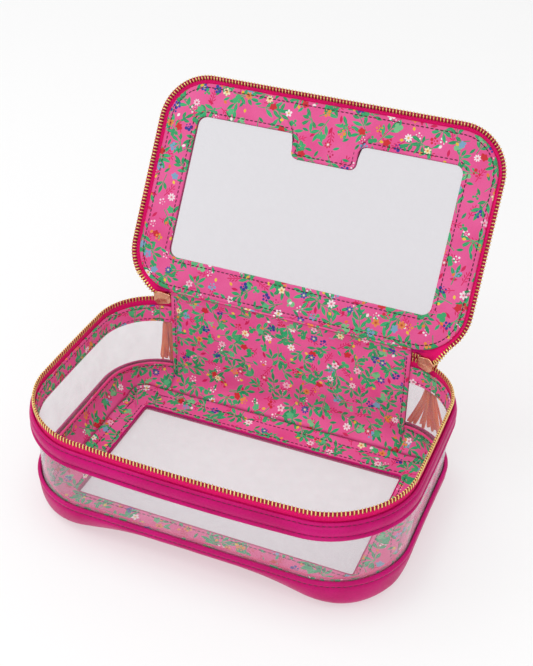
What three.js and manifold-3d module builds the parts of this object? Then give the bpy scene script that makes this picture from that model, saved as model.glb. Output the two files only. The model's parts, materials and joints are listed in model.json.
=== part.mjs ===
// A clear makeup train case with its lid open: a shallow box of clear vinyl between two leather bands, a lid
// with a window, and a zip that runs round the rim from one side of the leather spine to the other.
// Millimetres. +X runs along the case, +Y towards the spine and the hinge, +Z up. The rest pose has the lid
// open. The origin is the middle of the underside of the bounding box, which takes in the open lid.
import * as THREE from 'three';
import { mergeVertices } from 'three/addons/utils/BufferGeometryUtils.js';
import Module from 'manifold-3d';

// ---------------------------------------------------------------- driving dimensions

// Plan of the walls, measured at the middle of the clear sheet.
const HALF_LENGTH = 129;
const HALF_DEPTH = 83.5;
const REAR_RADIUS = 39;
const FRONT_RADIUS = 52;
const FRONT_BOW = 6.5; // how far the soft rim sags forwards at its middle
const SIDE_BOW = 1.7;

// Heights above the surface that the case stands on.
const SOLE_TOP = 24;
const BAND_LOW = 62;
const BAND_HIGH = 76;
const CHAIN = 83.5; // where the two rows of zip teeth meet
const HINGE_HEIGHT = 92;
const HINGE_Y = 78.5;
const OPEN_ANGLE = 123; // the lid's turn from closed to open, in degrees

// Sheet thicknesses, and the gap that separate sheets keep.
const LEATHER = 1.4;
const LINING = 1;
const VINYL = 0.8;
const TAPE = 0.7;
const GAP = 0.3;

// The sole curves from the floor up to the walls, widely along each side and tightly at each corner.
const SOLE_ACROSS = 24;
const SOLE_CORNER = 6;
const SOLE_UP = 20;
const FRONT_SLOPE = 0.5; // how much straighter than an ellipse the curve is in the middle of the front
// Where the corners' curve begins and where it is whole, as distances from the case's middle.
const FRONT_CORNER = { x: [30, 114], y: [0, 50] };
const REAR_CORNER = { x: [97, 118], y: [54, 72] };
const CREASE = 6.2; // where the floor lining ends and the side lining starts

// Windows, as half sizes, and how far the clear sheet is tucked under its frame.
const FLOOR_WINDOW = { x: 100, y: 51.5 };
const TUCK = 6;

// The spine is the leather and lining panel of the rear wall.
const SPINE_HALF = 91;
const SPINE_TUCK = 5; // how far the wall's own layers run on under the spine
const SPINE_TOP = 88;

// The lid's lining, in the lid's own plane: x across, v away from the hinge.
const LID = { half: 122, near: 1.3, far: 152.3, radius: 30 };
const LID_FRAME = 23.7; // width of the frame round the lid's window
const LID_WINDOW_RADIUS = 6.5;
const NOTCH = { half: 24, depth: 17.5, radius: 5 }; // tab of the frame that reaches into the window
const LID_LEATHER_LIP = 2; // the outer leather stands this far outside the lining
const LID_TAPE_START = 8; // the lid's tape leaves the lid this far from the hinge

// Zip teeth are simple beads here: across the tape, and along the wall's height.
const BEAD = { thick: 2.4, tall: 2 };

// Zip sliders, their pull links and tassels.
const SLIDER = { length: 12.6, height: 11, plate: 1.2, clear: 2.2, ridge: 0.8, post: 2 };
const BRIDGE = { half: 4.2, bar: 1.4, width: 1.6, out: 7.2 };
const LINK = { wire: 0.55, half: 1.95, top: 1.75, bottom: -7.3 };
const EYE = { radius: 2, tube: 0.55 };
const CAP = { radius: 3.3, top: -10.9, height: 10 };
const FRINGE = { length: 44, half: 3.2 };
const SIDES = [
  { name: 'left', sign: -1, angle: 12.4, upperBeadEnd: 9.4, spread: 7 },
  { name: 'right', sign: 1, angle: 19.9, upperBeadEnd: 16.9, spread: 14 },
];

// Facets of the curved stretches.
const ARC_STEPS = 7;
const SIDE_STEPS = 4;
const FRONT_STEPS = 10;
const REAR_STEPS = 8;
const SOLE_STEPS = 6;
const ROUND_STEPS = 12;

// ---------------------------------------------------------------- colours

const MATERIALS = {
  leather: new THREE.MeshStandardMaterial({ color: 0xc4106e, roughness: 0.45 }),
  lining: new THREE.MeshStandardMaterial({ color: 0xee4f90, roughness: 0.7 }),
  clear: new THREE.MeshStandardMaterial({
    color: 0xe6e4e8, roughness: 0.08, transparent: true, opacity: 0.3,
  }),
  tape: new THREE.MeshStandardMaterial({ color: 0xd8005a, roughness: 0.85 }),
  brass: new THREE.MeshStandardMaterial({ color: 0xd9b45c, roughness: 0.3, metalness: 1 }),
  rose: new THREE.MeshStandardMaterial({ color: 0xdfa283, roughness: 0.25, metalness: 1 }),
  tassel: new THREE.MeshStandardMaterial({ color: 0xd9763a, roughness: 0.6 }),
};

// ---------------------------------------------------------------- solids and meshes

const wasm = await Module();
wasm.setup();

const part = new THREE.Group();
const caseGroup = new THREE.Group();
const lidGroup = new THREE.Group();
part.add(caseGroup, lidGroup);

/** Adds a mesh to a group as one named sub-part. */
function addNode(group, name, geometry, material) {
  const mesh = new THREE.Mesh(geometry, material);
  mesh.name = name;
  group.add(mesh);
  return mesh;
}

/** A closed geometry as a manifold-3d solid. */
function solidOf(geometry) {
  const bare = geometry.clone();
  bare.deleteAttribute('normal');
  bare.deleteAttribute('uv');
  const welded = mergeVertices(bare);
  return new wasm.Manifold(new wasm.Mesh({
    numProp: 3,
    vertProperties: welded.getAttribute('position').array,
    triVerts: new Uint32Array(welded.index.array),
  }));
}

/** A manifold-3d solid as a geometry. */
function geometryOf(solid) {
  const mesh = solid.getMesh();
  const geometry = new THREE.BufferGeometry();
  geometry.setAttribute('position', new THREE.BufferAttribute(mesh.vertProperties, 3));
  geometry.setIndex(new THREE.BufferAttribute(mesh.triVerts, 1));
  return geometry;
}

/** The solid of a box between two corners. */
function boxSolid(low, high) {
  const size = high.map((value, i) => value - low[i]);
  const box = new THREE.BoxGeometry(...size);
  box.translate(...low.map((value, i) => value + size[i] / 2));
  return solidOf(box);
}

/** The volume that a list of triangles encloses; it is negative when they face inwards. */
function signedVolume(points, triangles) {
  return triangles.reduce((sum, [a, b, c]) => {
    const cross = new THREE.Vector3().crossVectors(points[b], points[c]);
    return sum + points[a].dot(cross) / 6;
  }, 0);
}

/**
 * A closed skin through loops of points that all have the same number of points. An endless loft joins its
 * last loop to its first; any other gets a flat end at each of the two, as a fan round the loop's middle.
 */
function loft(loops, endless) {
  const count = loops[0].length;
  const points = loops.flat();
  const triangles = [];
  const last = endless ? loops.length : loops.length - 1;
  for (let i = 0; i < last; i += 1) {
    const next = (i + 1) % loops.length;
    for (let j = 0; j < count; j += 1) {
      const k = (j + 1) % count;
      triangles.push([i * count + j, i * count + k, next * count + k]);
      triangles.push([i * count + j, next * count + k, next * count + j]);
    }
  }
  if (!endless) {
    [0, loops.length - 1].forEach((i) => {
      const middle = loops[i].reduce((sum, p) => sum.add(p), new THREE.Vector3()).divideScalar(count);
      const centre = points.push(middle) - 1;
      for (let j = 0; j < count; j += 1) {
        const edge = [i * count + j, i * count + ((j + 1) % count)];
        triangles.push(i === 0 ? [centre, edge[1], edge[0]] : [centre, edge[0], edge[1]]);
      }
    });
  }
  if (signedVolume(points, triangles) < 0) {
    triangles.forEach((t) => t.reverse());
  }
  const geometry = new THREE.BufferGeometry().setFromPoints(points);
  geometry.setIndex(triangles.flat());
  return geometry;
}

// ---------------------------------------------------------------- plan outlines

/** Points round a rectangle with arcs for corners, anticlockwise from the start of its far left corner. */
function roundedLoop(half, low, high, lowRadius, highRadius, lowSteps, sideSteps, highSteps) {
  const corners = [
    { x: -half + highRadius, y: high - highRadius, radius: highRadius, from: 90, steps: sideSteps },
    { x: -half + lowRadius, y: low + lowRadius, radius: lowRadius, from: 180, steps: lowSteps },
    { x: half - lowRadius, y: low + lowRadius, radius: lowRadius, from: 270, steps: sideSteps },
    { x: half - highRadius, y: high - highRadius, radius: highRadius, from: 0, steps: highSteps },
  ];
  const points = [];
  corners.forEach((corner, i) => {
    for (let step = 0; step <= ARC_STEPS; step += 1) {
      const angle = THREE.MathUtils.degToRad(corner.from + (90 * step) / ARC_STEPS);
      points.push(new THREE.Vector2(
        corner.x + corner.radius * Math.cos(angle),
        corner.y + corner.radius * Math.sin(angle),
      ));
    }
    const here = points.at(-1);
    const next = corners[(i + 1) % corners.length];
    const turn = THREE.MathUtils.degToRad(next.from);
    const there = new THREE.Vector2(
      next.x + next.radius * Math.cos(turn),
      next.y + next.radius * Math.sin(turn),
    );
    for (let step = 1; step < corner.steps; step += 1) {
      points.push(here.clone().lerp(there, step / corner.steps));
    }
  });
  return points;
}

/** The points of a loop moved outwards by an offset each, along the loop's own normals. */
function offsetLoop(loop, offsets) {
  const count = loop.length;
  return loop.map((point, i) => {
    const along = loop[(i + 1) % count].clone().sub(loop[(i + count - 1) % count]).normalize();
    return new THREE.Vector2(point.x + along.y * offsets[i], point.y - along.x * offsets[i]);
  });
}

/** The walls' plan where it is straight, at the sole. */
function plainLoop() {
  return roundedLoop(
    HALF_LENGTH, -HALF_DEPTH, HALF_DEPTH, FRONT_RADIUS, REAR_RADIUS, FRONT_STEPS, SIDE_STEPS, REAR_STEPS,
  );
}

/** The walls' plan at a height: straight at the sole, bowed out along the front and sides at the rim. */
function wallLoop(z, offset) {
  const bow = THREE.MathUtils.clamp((z - SOLE_TOP) / (BAND_LOW - SOLE_TOP), 0, 1);
  const bowed = plainLoop().map(({ x, y }) => {
    const forwards = Math.max(-y / HALF_DEPTH, 0) ** 2 * (1 - (x / HALF_LENGTH) ** 2);
    const sideways = Math.sign(x) * (x / HALF_LENGTH) ** 2 * (1 - (y / HALF_DEPTH) ** 2);
    return new THREE.Vector2(x + bow * SIDE_BOW * sideways, y - bow * FRONT_BOW * forwards);
  });
  return offsetLoop(bowed, bowed.map(() => offset)).map((p) => new THREE.Vector3(p.x, p.y, z));
}

/** A band all round the walls, from its section: points of [offset outwards, height]. */
function wallBand(section) {
  const levels = section.map(([offset, z]) => wallLoop(z, offset));
  const loops = levels[0].map((_, i) => levels.map((level) => level[i]));
  return solidOf(loft(loops, true));
}

/** The section of a sheet that stands on the wall's plan, bending with it between the sole and the band. */
function sheetSection(inner, outer, low, high) {
  const bends = [SOLE_TOP, BAND_LOW].filter((z) => z > low && z < high);
  const heights = [low, ...bends, high];
  return [...heights.map((z) => [outer, z]), ...heights.reverse().map((z) => [inner, z])];
}

/** How far in from the wall's straight part the sole's curve is, at a share of the way down to the floor. */
function curveInset(point, depth, fall) {
  const { x, y } = point.y < 0 ? FRONT_CORNER : REAR_CORNER;
  const nearX = THREE.MathUtils.smoothstep(Math.abs(point.x), ...x);
  const corner = nearX * THREE.MathUtils.smoothstep(Math.abs(point.y), ...y);
  const across = THREE.MathUtils.lerp(SOLE_ACROSS - depth, SOLE_CORNER, corner);
  const front = Math.max(-point.y / HALF_DEPTH, 0) ** 2;
  const power = 1 + FRONT_SLOPE * front * (1 - corner);
  return across * (1 - (1 - fall ** (2 / power)) ** (power / 2));
}

/** What fills the space above the sole's curve, set in from the outer leather by a depth, up to a height. */
function dish(depth, top) {
  const plan = plainLoop();
  const levels = [];
  for (let step = 0; step <= SOLE_STEPS; step += 1) {
    const fall = Math.sin((Math.PI / 2) * (1 - step / SOLE_STEPS));
    const z = SOLE_UP - (SOLE_UP - depth) * fall;
    const insets = plan.map((point) => depth + curveInset(point, depth, fall) - GAP - VINYL / 2 - LEATHER);
    levels.push(offsetLoop(plan, insets.map((inset) => -inset)).map((p) => new THREE.Vector3(p.x, p.y, z)));
  }
  levels.push(wallLoop(top, GAP + VINYL / 2 + LEATHER - depth));
  return solidOf(loft(levels, false));
}

/** A block behind the case's middle, half a width wide, that takes in the rear wall. */
function rearBlock(half) {
  return boxSolid([-half, HALF_DEPTH / 2, -1], [half, HALF_DEPTH * 2, HINGE_HEIGHT * 2]);
}

// ---------------------------------------------------------------- the case's shell

const SHEET_FACE = VINYL / 2;
const LINING_OUT = -SHEET_FACE - GAP;
const LINING_IN = LINING_OUT - LINING;
const LEATHER_IN = SHEET_FACE + GAP;
const LEATHER_OUT = LEATHER_IN + LEATHER;
const LINING_DEPTH = LEATHER + 2 * GAP + VINYL; // from the outer leather's face to the lining

/** The window's opening, from below the sole to above the floor. */
function floorWindowCut() {
  return boxSolid([-FLOOR_WINDOW.x, -FLOOR_WINDOW.y, -1], [FLOOR_WINDOW.x, FLOOR_WINDOW.y, CREASE * 2]);
}

/** Leather sole: the frame under the floor and the side that curves up from it. */
function sole() {
  const above = dish(LEATHER, SOLE_TOP + 1);
  return dish(0, SOLE_TOP).subtract(above).subtract(floorWindowCut());
}

/** The floral floor and side lining, as one dish, between two heights. */
function liningDish(low, high) {
  const whole = dish(LINING_DEPTH, SOLE_TOP).subtract(dish(LINING_DEPTH + LINING, SOLE_TOP + 1));
  const reach = HALF_LENGTH * 2;
  return whole.intersect(boxSolid([-reach, -reach, low], [reach, reach, high]));
}

function addShell() {
  addNode(caseGroup, 'sole_leather', geometryOf(sole()), MATERIALS.leather);

  const edge = wallBand(sheetSection(LEATHER_OUT + GAP, LEATHER_OUT + 1, SOLE_TOP - 4.4, SOLE_TOP));
  addNode(caseGroup, 'sole_edge_binding', geometryOf(edge), MATERIALS.leather);

  // The pane follows the sole where its corners come near the curve.
  const under = LEATHER + GAP;
  const corner = [FLOOR_WINDOW.x + TUCK, FLOOR_WINDOW.y + TUCK];
  const pane = boxSolid([-corner[0], -corner[1], under], [...corner, under + VINYL]);
  addNode(caseGroup, 'floor_window', geometryOf(pane.intersect(dish(under, CREASE))), MATERIALS.clear);

  const floor = liningDish(0, CREASE - GAP).subtract(floorWindowCut());
  addNode(caseGroup, 'floor_lining', geometryOf(floor), MATERIALS.lining);

  const side = liningDish(CREASE, SOLE_TOP).subtract(rearBlock(SPINE_HALF + GAP));
  addNode(caseGroup, 'lower_side_lining', geometryOf(side), MATERIALS.lining);

  const piping = wallBand(sheetSection(LINING_IN - GAP - 0.8, LINING_IN - GAP, SOLE_TOP - 1.6, SOLE_TOP));
  const openPiping = piping.subtract(rearBlock(SPINE_HALF + GAP));
  addNode(caseGroup, 'lower_lining_piping', geometryOf(openPiping), MATERIALS.lining);

  const wall = wallBand(sheetSection(-SHEET_FACE, SHEET_FACE, SOLE_UP, BAND_LOW + 4));
  const wallCut = wall.subtract(rearBlock(SPINE_HALF - SPINE_TUCK));
  addNode(caseGroup, 'clear_side_wall', geometryOf(wallCut), MATERIALS.clear);

  const band = wallBand(sheetSection(LEATHER_IN, LEATHER_OUT, BAND_LOW, BAND_HIGH));
  const openBand = band.subtract(rearBlock(SPINE_HALF + GAP));
  addNode(caseGroup, 'upper_leather_band', geometryOf(openBand), MATERIALS.leather);

  const inner = wallBand(sheetSection(LINING_IN, LINING_OUT, BAND_LOW, BAND_HIGH));
  const openLining = inner.subtract(rearBlock(SPINE_HALF + GAP));
  addNode(caseGroup, 'upper_band_lining', geometryOf(openLining), MATERIALS.lining);
}

// ---------------------------------------------------------------- spine and hinge

/** A bar along X with a section drawn as a shape in (y, z). */
function barAlongX(section, half) {
  const bar = new THREE.ExtrudeGeometry(section, { depth: 2 * half, bevelEnabled: false });
  // The shape's x and y become Y and Z, and the extrusion runs along X.
  const turn = new THREE.Matrix4().makeBasis(
    new THREE.Vector3(0, 1, 0), new THREE.Vector3(0, 0, 1), new THREE.Vector3(1, 0, 0),
  );
  return bar.applyMatrix4(turn).translate(-half, 0, 0);
}

/** The soft leather hinge: a roll on the hinge line, with a web down to the top of the spine. */
function hingeSection() {
  const roll = 0.9;
  const web = 0.5;
  const foot = new THREE.Vector2(HALF_DEPTH + LEATHER_IN, SPINE_TOP + 0.6);
  const axis = new THREE.Vector2(HINGE_Y, HINGE_HEIGHT);
  const along = foot.clone().sub(axis).normalize();
  const across = new THREE.Vector2(-along.y, along.x).multiplyScalar(web);
  const heading = along.angle();
  const spread = Math.asin(web / roll);
  const shape = new THREE.Shape();
  shape.moveTo(foot.x - across.x, foot.y - across.y);
  shape.lineTo(foot.x + across.x, foot.y + across.y);
  shape.absarc(axis.x, axis.y, roll, heading + spread, heading - spread + 2 * Math.PI, false);
  return shape;
}

function addSpine() {
  const low = SOLE_TOP + GAP;
  const back = new THREE.BoxGeometry(2 * SPINE_HALF, LEATHER, SPINE_TOP - low);
  back.translate(0, HALF_DEPTH + LEATHER_IN + LEATHER / 2, (SPINE_TOP + low) / 2);
  addNode(caseGroup, 'spine_leather', back, MATERIALS.leather);

  const foot = liningDish(CREASE, SOLE_TOP).intersect(rearBlock(SPINE_HALF));
  const upright = boxSolid(
    [-SPINE_HALF, HALF_DEPTH + LINING_IN, SOLE_TOP - 2],
    [SPINE_HALF, HALF_DEPTH + LINING_OUT, SPINE_TOP],
  );
  // Beyond the rear corners' start the foot follows the corner, so it is kept to the flat wall's width.
  const flat = HALF_LENGTH - REAR_RADIUS;
  const kept = foot.intersect(rearBlock(flat));
  addNode(caseGroup, 'spine_lining', geometryOf(kept.add(upright)), MATERIALS.lining);

  const binding = { wide: 3.4, thick: 0.9, low: SOLE_UP + 1 };
  SIDES.forEach(({ name, sign }) => {
    const strip = new THREE.BoxGeometry(binding.wide, binding.thick, SPINE_TOP - binding.low);
    strip.translate(
      sign * (SPINE_HALF - binding.wide / 2),
      HALF_DEPTH + LINING_IN - GAP - binding.thick / 2,
      (SPINE_TOP + binding.low) / 2,
    );
    addNode(caseGroup, `spine_binding_${name}`, strip, MATERIALS.lining);
  });

  const hinge = barAlongX(hingeSection(), SPINE_HALF - SPINE_TUCK - 0.5);
  addNode(caseGroup, 'hinge_leather', hinge, MATERIALS.leather);
}

// ---------------------------------------------------------------- zip on the case's rim

/** A block that takes in one rear corner, from a distance off the middle out to an angle round the corner. */
function cornerBlock(sign, start, angle) {
  const reach = HALF_LENGTH - REAR_RADIUS + REAR_RADIUS * Math.sin(THREE.MathUtils.degToRad(angle));
  const ends = [sign * start, sign * reach].sort((a, b) => a - b);
  return boxSolid([ends[0], HALF_DEPTH / 2, 0], [ends[1], HALF_DEPTH * 2, HINGE_HEIGHT * 2]);
}

function addRimZip() {
  const underSpine = rearBlock(SPINE_HALF - SPINE_TUCK);
  const beadLow = CHAIN - GAP / 2 - BEAD.tall;
  const tape = wallBand(sheetSection(-TAPE / 2, TAPE / 2, BAND_LOW + 4 + 2 * GAP, beadLow - GAP));
  addNode(caseGroup, 'rim_zip_tape', geometryOf(tape.subtract(underSpine)), MATERIALS.tape);

  const teeth = wallBand(sheetSection(-BEAD.thick / 2, BEAD.thick / 2, beadLow, beadLow + BEAD.tall));
  const besideSpine = SPINE_HALF + GAP;
  const rimTeeth = teeth.subtract(rearBlock(besideSpine));
  addNode(caseGroup, 'rim_zip_teeth', geometryOf(rimTeeth), MATERIALS.brass);

  // Beside the spine the zip stays closed, so the lid's tape and teeth carry on there above the case's.
  const upperLow = CHAIN + GAP / 2;
  const upperTeeth = wallBand(sheetSection(-BEAD.thick / 2, BEAD.thick / 2, upperLow, upperLow + BEAD.tall));
  const tapeLow = upperLow + BEAD.tall + GAP;
  const upperTape = wallBand(sheetSection(-TAPE / 2, TAPE / 2, tapeLow, HINGE_HEIGHT - 1.7));
  const stubEnd = 33;
  SIDES.forEach(({ name, sign, upperBeadEnd }) => {
    const tapeEnd = upperTape.intersect(cornerBlock(sign, SPINE_HALF - SPINE_TUCK, stubEnd));
    addNode(caseGroup, `closed_zip_tape_${name}`, geometryOf(tapeEnd), MATERIALS.tape);
    const teethEnd = upperTeeth.intersect(cornerBlock(sign, besideSpine, upperBeadEnd));
    addNode(caseGroup, `closed_zip_teeth_${name}`, geometryOf(teethEnd), MATERIALS.brass);
  });
}

// ---------------------------------------------------------------- lid

/** A closed shape with every corner rounded; each corner is [x, y, radius]. */
function roundedShape(corners, Kind) {
  const shape = new Kind();
  const count = corners.length;
  corners.forEach(([x, y, radius], i) => {
    const corner = new THREE.Vector2(x, y);
    const before = new THREE.Vector2(...corners[(i + count - 1) % count]);
    const after = new THREE.Vector2(...corners[(i + 1) % count]);
    const start = corner.clone().add(before.sub(corner).setLength(radius));
    const end = corner.clone().add(after.sub(corner).setLength(radius));
    if (i === 0) {
      shape.moveTo(start.x, start.y);
    } else {
      shape.lineTo(start.x, start.y);
    }
    // The control points of a quarter circle lie this share of the radius short of the corner.
    const pull = 0.4477;
    const a = start.clone().lerp(corner, 1 - pull);
    const b = end.clone().lerp(corner, 1 - pull);
    shape.bezierCurveTo(a.x, a.y, b.x, b.y, end.x, end.y);
  });
  shape.closePath();
  return shape;
}

/** The lid's window, with the frame's tab reaching into its far side. */
function lidWindowHole() {
  const half = LID.half - LID_FRAME;
  const near = LID.near + LID_FRAME;
  const far = LID.far - LID_FRAME;
  const round = LID_WINDOW_RADIUS;
  return roundedShape([
    [-half, near, round],
    [-half, far, round],
    [-NOTCH.half, far, NOTCH.radius],
    [-NOTCH.half, far - NOTCH.depth, NOTCH.radius],
    [NOTCH.half, far - NOTCH.depth, NOTCH.radius],
    [NOTCH.half, far, NOTCH.radius],
    [half, far, round],
    [half, near, round],
  ], THREE.Path);
}

/** A flat frame of the lid with the window cut out, from one distance off the lining's face to another. */
function lidFrame(lip, from, to) {
  const half = LID.half + lip;
  const far = LID.far + lip;
  const radius = LID.radius + lip;
  const shape = roundedShape([
    [-half, LID.near, radius],
    [half, LID.near, radius],
    [half, far, radius],
    [-half, far, radius],
  ], THREE.Shape);
  shape.holes.push(lidWindowHole());
  const frame = new THREE.ExtrudeGeometry(shape, { depth: to - from, bevelEnabled: false, curveSegments: 8 });
  return frame.translate(0, 0, from);
}

/** A strip round the lid's edge, from its section: points of [offset from the lining's edge, height]. */
function lidStrip(section) {
  const { half, near, far, radius } = LID;
  const plain = roundedLoop(half, near, far, radius, radius, FRONT_STEPS, SIDE_STEPS, 2);
  const levels = section.map(([offset, height]) => offsetLoop(plain, plain.map(() => offset))
    .map((p) => new THREE.Vector3(p.x, p.y, height)));
  const loops = levels[0].map((_, i) => levels.map((level) => level[i]));
  const strip = solidOf(loft(loops, true));
  const reach = HALF_LENGTH * 2;
  return strip.subtract(boxSolid([-reach, -reach, -reach], [reach, LID_TAPE_START, reach]));
}

function addLid() {
  // Heights off the lining's inner face; the outside of the lid is below zero.
  const paneTop = -LINING - GAP;
  const leatherTop = paneTop - VINYL - GAP;
  addNode(lidGroup, 'lid_lining', lidFrame(0, -LINING, 0), MATERIALS.lining);
  const leather = lidFrame(LID_LEATHER_LIP, leatherTop - LEATHER, leatherTop);
  addNode(lidGroup, 'lid_leather_frame', leather, MATERIALS.leather);

  const half = LID.half - LID_FRAME + TUCK;
  const deep = LID.far - LID.near - 2 * (LID_FRAME - TUCK);
  const pane = new THREE.BoxGeometry(2 * half, deep, VINYL);
  pane.translate(0, (LID.near + LID.far) / 2, paneTop - VINYL / 2);
  addNode(lidGroup, 'lid_window', pane, MATERIALS.clear);

  // The tape comes out between lining and leather, and flares outwards and towards the inside.
  const low = paneTop - VINYL / 2 - TAPE / 2;
  const high = low + TAPE;
  const tape = lidStrip([
    [-5, low], [1.2, low], [3.2, -0.1], [2.7, 0.4], [0.9, high], [-5, high],
  ]);
  addNode(lidGroup, 'lid_zip_tape', geometryOf(tape), MATERIALS.tape);
  const teeth = lidStrip([[3.9, 0.1], [6.1, 1.7], [5, 2.7], [3.1, 0.8]]);
  addNode(lidGroup, 'lid_zip_teeth', geometryOf(teeth), MATERIALS.brass);

  lidGroup.position.set(0, HINGE_Y, HINGE_HEIGHT);
  lidGroup.rotation.x = THREE.MathUtils.degToRad(180 - OPEN_ANGLE);
}

// ---------------------------------------------------------------- sliders, links and tassels

/** One plate of a slider: a six-sided shield with a ridge along the middle of its outer face. */
function sliderPlate(side) {
  const rear = -SLIDER.length / 2;
  const nose = SLIDER.length / 2;
  const tall = SLIDER.height / 2;
  const outline = [
    [rear, -tall * 0.7], [nose * 0.35, -tall], [nose, -tall * 0.45],
    [nose, tall * 0.45], [nose * 0.35, tall], [rear, tall * 0.7],
  ];
  const ridge = [[rear + 1.5, 0], [nose * 0.35, -0.2], [nose - 1.5, 0], [nose - 1.5, 0.1],
    [nose * 0.35, 0.2], [rear + 1.5, 0.1]];
  const near = SLIDER.clear;
  const far = near + SLIDER.plate;
  const loops = [[outline, near], [outline, far], [ridge, far + SLIDER.ridge]]
    .map(([points, out]) => points.map(([x, z]) => new THREE.Vector3(x, side * out, z)));
  return solidOf(loft(loops, false));
}

/** The arch on a slider's outer plate that its link hangs from. */
function sliderBridge() {
  const { half, bar, width, out } = BRIDGE;
  const foot = SLIDER.clear + SLIDER.plate / 2;
  const top = out + bar / 2;
  const shape = new THREE.Shape();
  shape.moveTo(-half, foot);
  shape.lineTo(half, foot);
  shape.lineTo(half, top - bar);
  shape.quadraticCurveTo(half, top, half - bar, top);
  shape.lineTo(-half + bar, top);
  shape.quadraticCurveTo(-half, top, -half, top - bar);
  shape.closePath();
  const hole = new THREE.Path();
  const floor = SLIDER.clear + SLIDER.plate + SLIDER.ridge;
  hole.moveTo(-half + bar, floor);
  hole.lineTo(half - bar, floor);
  hole.lineTo(half - bar, top - bar);
  hole.lineTo(-half + bar, top - bar);
  hole.closePath();
  shape.holes.push(hole);
  const arch = new THREE.ExtrudeGeometry(shape, { depth: width, bevelEnabled: false, curveSegments: 4 });
  return solidOf(arch.translate(0, 0, -width / 2));
}

function sliderBody() {
  const reach = SLIDER.clear + SLIDER.plate / 2;
  const low = GAP / 2 + 0.05;
  const post = boxSolid(
    [SLIDER.length / 2 - SLIDER.post, -reach, low],
    [SLIDER.length / 2 - 0.1, reach, low + BEAD.tall - 0.1],
  );
  return sliderPlate(1).add(sliderPlate(-1)).add(post).add(sliderBridge());
}

/** A ring of round wire, bent along a closed list of points in a plane, with the plane's normal. */
function wireLoop(path, normal, wire) {
  const count = path.length;
  const loops = path.map((point, i) => {
    const along = path[(i + 1) % count].clone().sub(path[(i + count - 1) % count]).normalize();
    const outward = new THREE.Vector3().crossVectors(along, normal);
    return Array.from({ length: 8 }, (_, k) => {
      const angle = (k * Math.PI) / 4;
      return point.clone()
        .addScaledVector(outward, wire * Math.cos(angle))
        .addScaledVector(normal, wire * Math.sin(angle));
    });
  });
  return loft(loops, true);
}

/** The long link round the slider's bridge, in the plane across the bridge's bar. */
function pullLink() {
  const { half, top, bottom, wire } = LINK;
  const path = [];
  const steps = ROUND_STEPS / 2;
  [[bottom + half, 180], [top - half, 0]].forEach(([height, from]) => {
    for (let i = 0; i <= steps; i += 1) {
      const angle = THREE.MathUtils.degToRad(from + (180 * i) / steps);
      const out = BRIDGE.out + half * Math.cos(angle);
      path.push(new THREE.Vector3(0, out, height + half * Math.sin(angle)));
    }
  });
  return wireLoop(path, new THREE.Vector3(1, 0, 0), wire);
}

/** The tassel's metal eye round the foot of the link. */
function tasselEye() {
  const eye = new THREE.TorusGeometry(EYE.radius, EYE.tube, 8, ROUND_STEPS);
  const lift = LINK.bottom + LINK.wire + EYE.tube + 0.1 - EYE.radius;
  return eye.rotateX(Math.PI / 2).translate(0, BRIDGE.out, lift);
}

function tasselCap() {
  const cap = new THREE.CylinderGeometry(CAP.radius - 0.6, CAP.radius, CAP.height, ROUND_STEPS);
  return cap.rotateX(Math.PI / 2).translate(0, BRIDGE.out, CAP.top - CAP.height / 2);
}

/** The hanging strips as one solid that widens along the wall towards its foot. */
function tasselFringe(spread) {
  const top = CAP.top - CAP.height - GAP;
  const levels = [0, 0.25, 0.6, 1].map((down) => {
    const wide = CAP.radius - 0.4 + (spread - CAP.radius) * down;
    const loop = Array.from({ length: ROUND_STEPS }, (_, k) => {
      const angle = (2 * Math.PI * k) / ROUND_STEPS;
      return new THREE.Vector3(
        wide * Math.cos(angle),
        BRIDGE.out + (FRINGE.half - 0.2 * (1 - down)) * Math.sin(angle),
        top - FRINGE.length * down,
      );
    });
    return loop;
  });
  return loft(levels, false);
}

function addHardware() {
  SIDES.forEach(({ name, sign, angle, spread }) => {
    // The frame of a slider: x along the rim and away from the spine, y outwards, z up.
    const turn = THREE.MathUtils.degToRad(angle);
    const station = new THREE.Group();
    station.position.set(
      sign * (HALF_LENGTH - REAR_RADIUS + REAR_RADIUS * Math.sin(turn)),
      HALF_DEPTH - REAR_RADIUS + REAR_RADIUS * Math.cos(turn),
      CHAIN,
    );
    station.rotation.z = -sign * turn;
    caseGroup.add(station);
    const facing = new THREE.Matrix4().makeScale(sign, 1, 1);
    const slider = geometryOf(sliderBody()).applyMatrix4(facing);
    if (sign < 0) {
      slider.index.array.reverse();
    }
    addNode(station, `slider_${name}`, slider, MATERIALS.rose);
    addNode(station, `pull_link_${name}`, pullLink(), MATERIALS.rose);
    addNode(station, `tassel_eye_${name}`, tasselEye(), MATERIALS.rose);
    addNode(station, `tassel_cap_${name}`, tasselCap(), MATERIALS.tassel);
    addNode(station, `tassel_fringe_${name}`, tasselFringe(spread), MATERIALS.tassel);
  });
}

addShell();
addSpine();
addRimZip();
addLid();
addHardware();

// The bounding box reaches from the bowed leather band in front to the leather edge of the open lid.
const tilt = THREE.MathUtils.degToRad(180 - OPEN_ANGLE);
const lidBack = -LINING - GAP - VINYL - GAP - LEATHER;
const rearmost = HINGE_Y + (LID.far + LID_LEATHER_LIP) * Math.cos(tilt) - lidBack * Math.sin(tilt);
const foremost = -HALF_DEPTH - FRONT_BOW - LEATHER_OUT;
part.position.y = -(rearmost + foremost) / 2;

export default part;
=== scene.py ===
"""Visual model of a clear makeup train case with its lid open: leather bands, floral lining, clear vinyl,
a two-way zip with separate teeth, and a tassel on each slider.

Shapes are worked out in millimetres in the case's own frame: x along the case, y towards the hinge from the
middle of the walls, z up from the surface. to_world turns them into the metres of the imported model.
"""
import bisect
import bmesh
import bpy
import json
import math
import random
from mathutils import Matrix, Vector
from mathutils import noise as perlin


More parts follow.
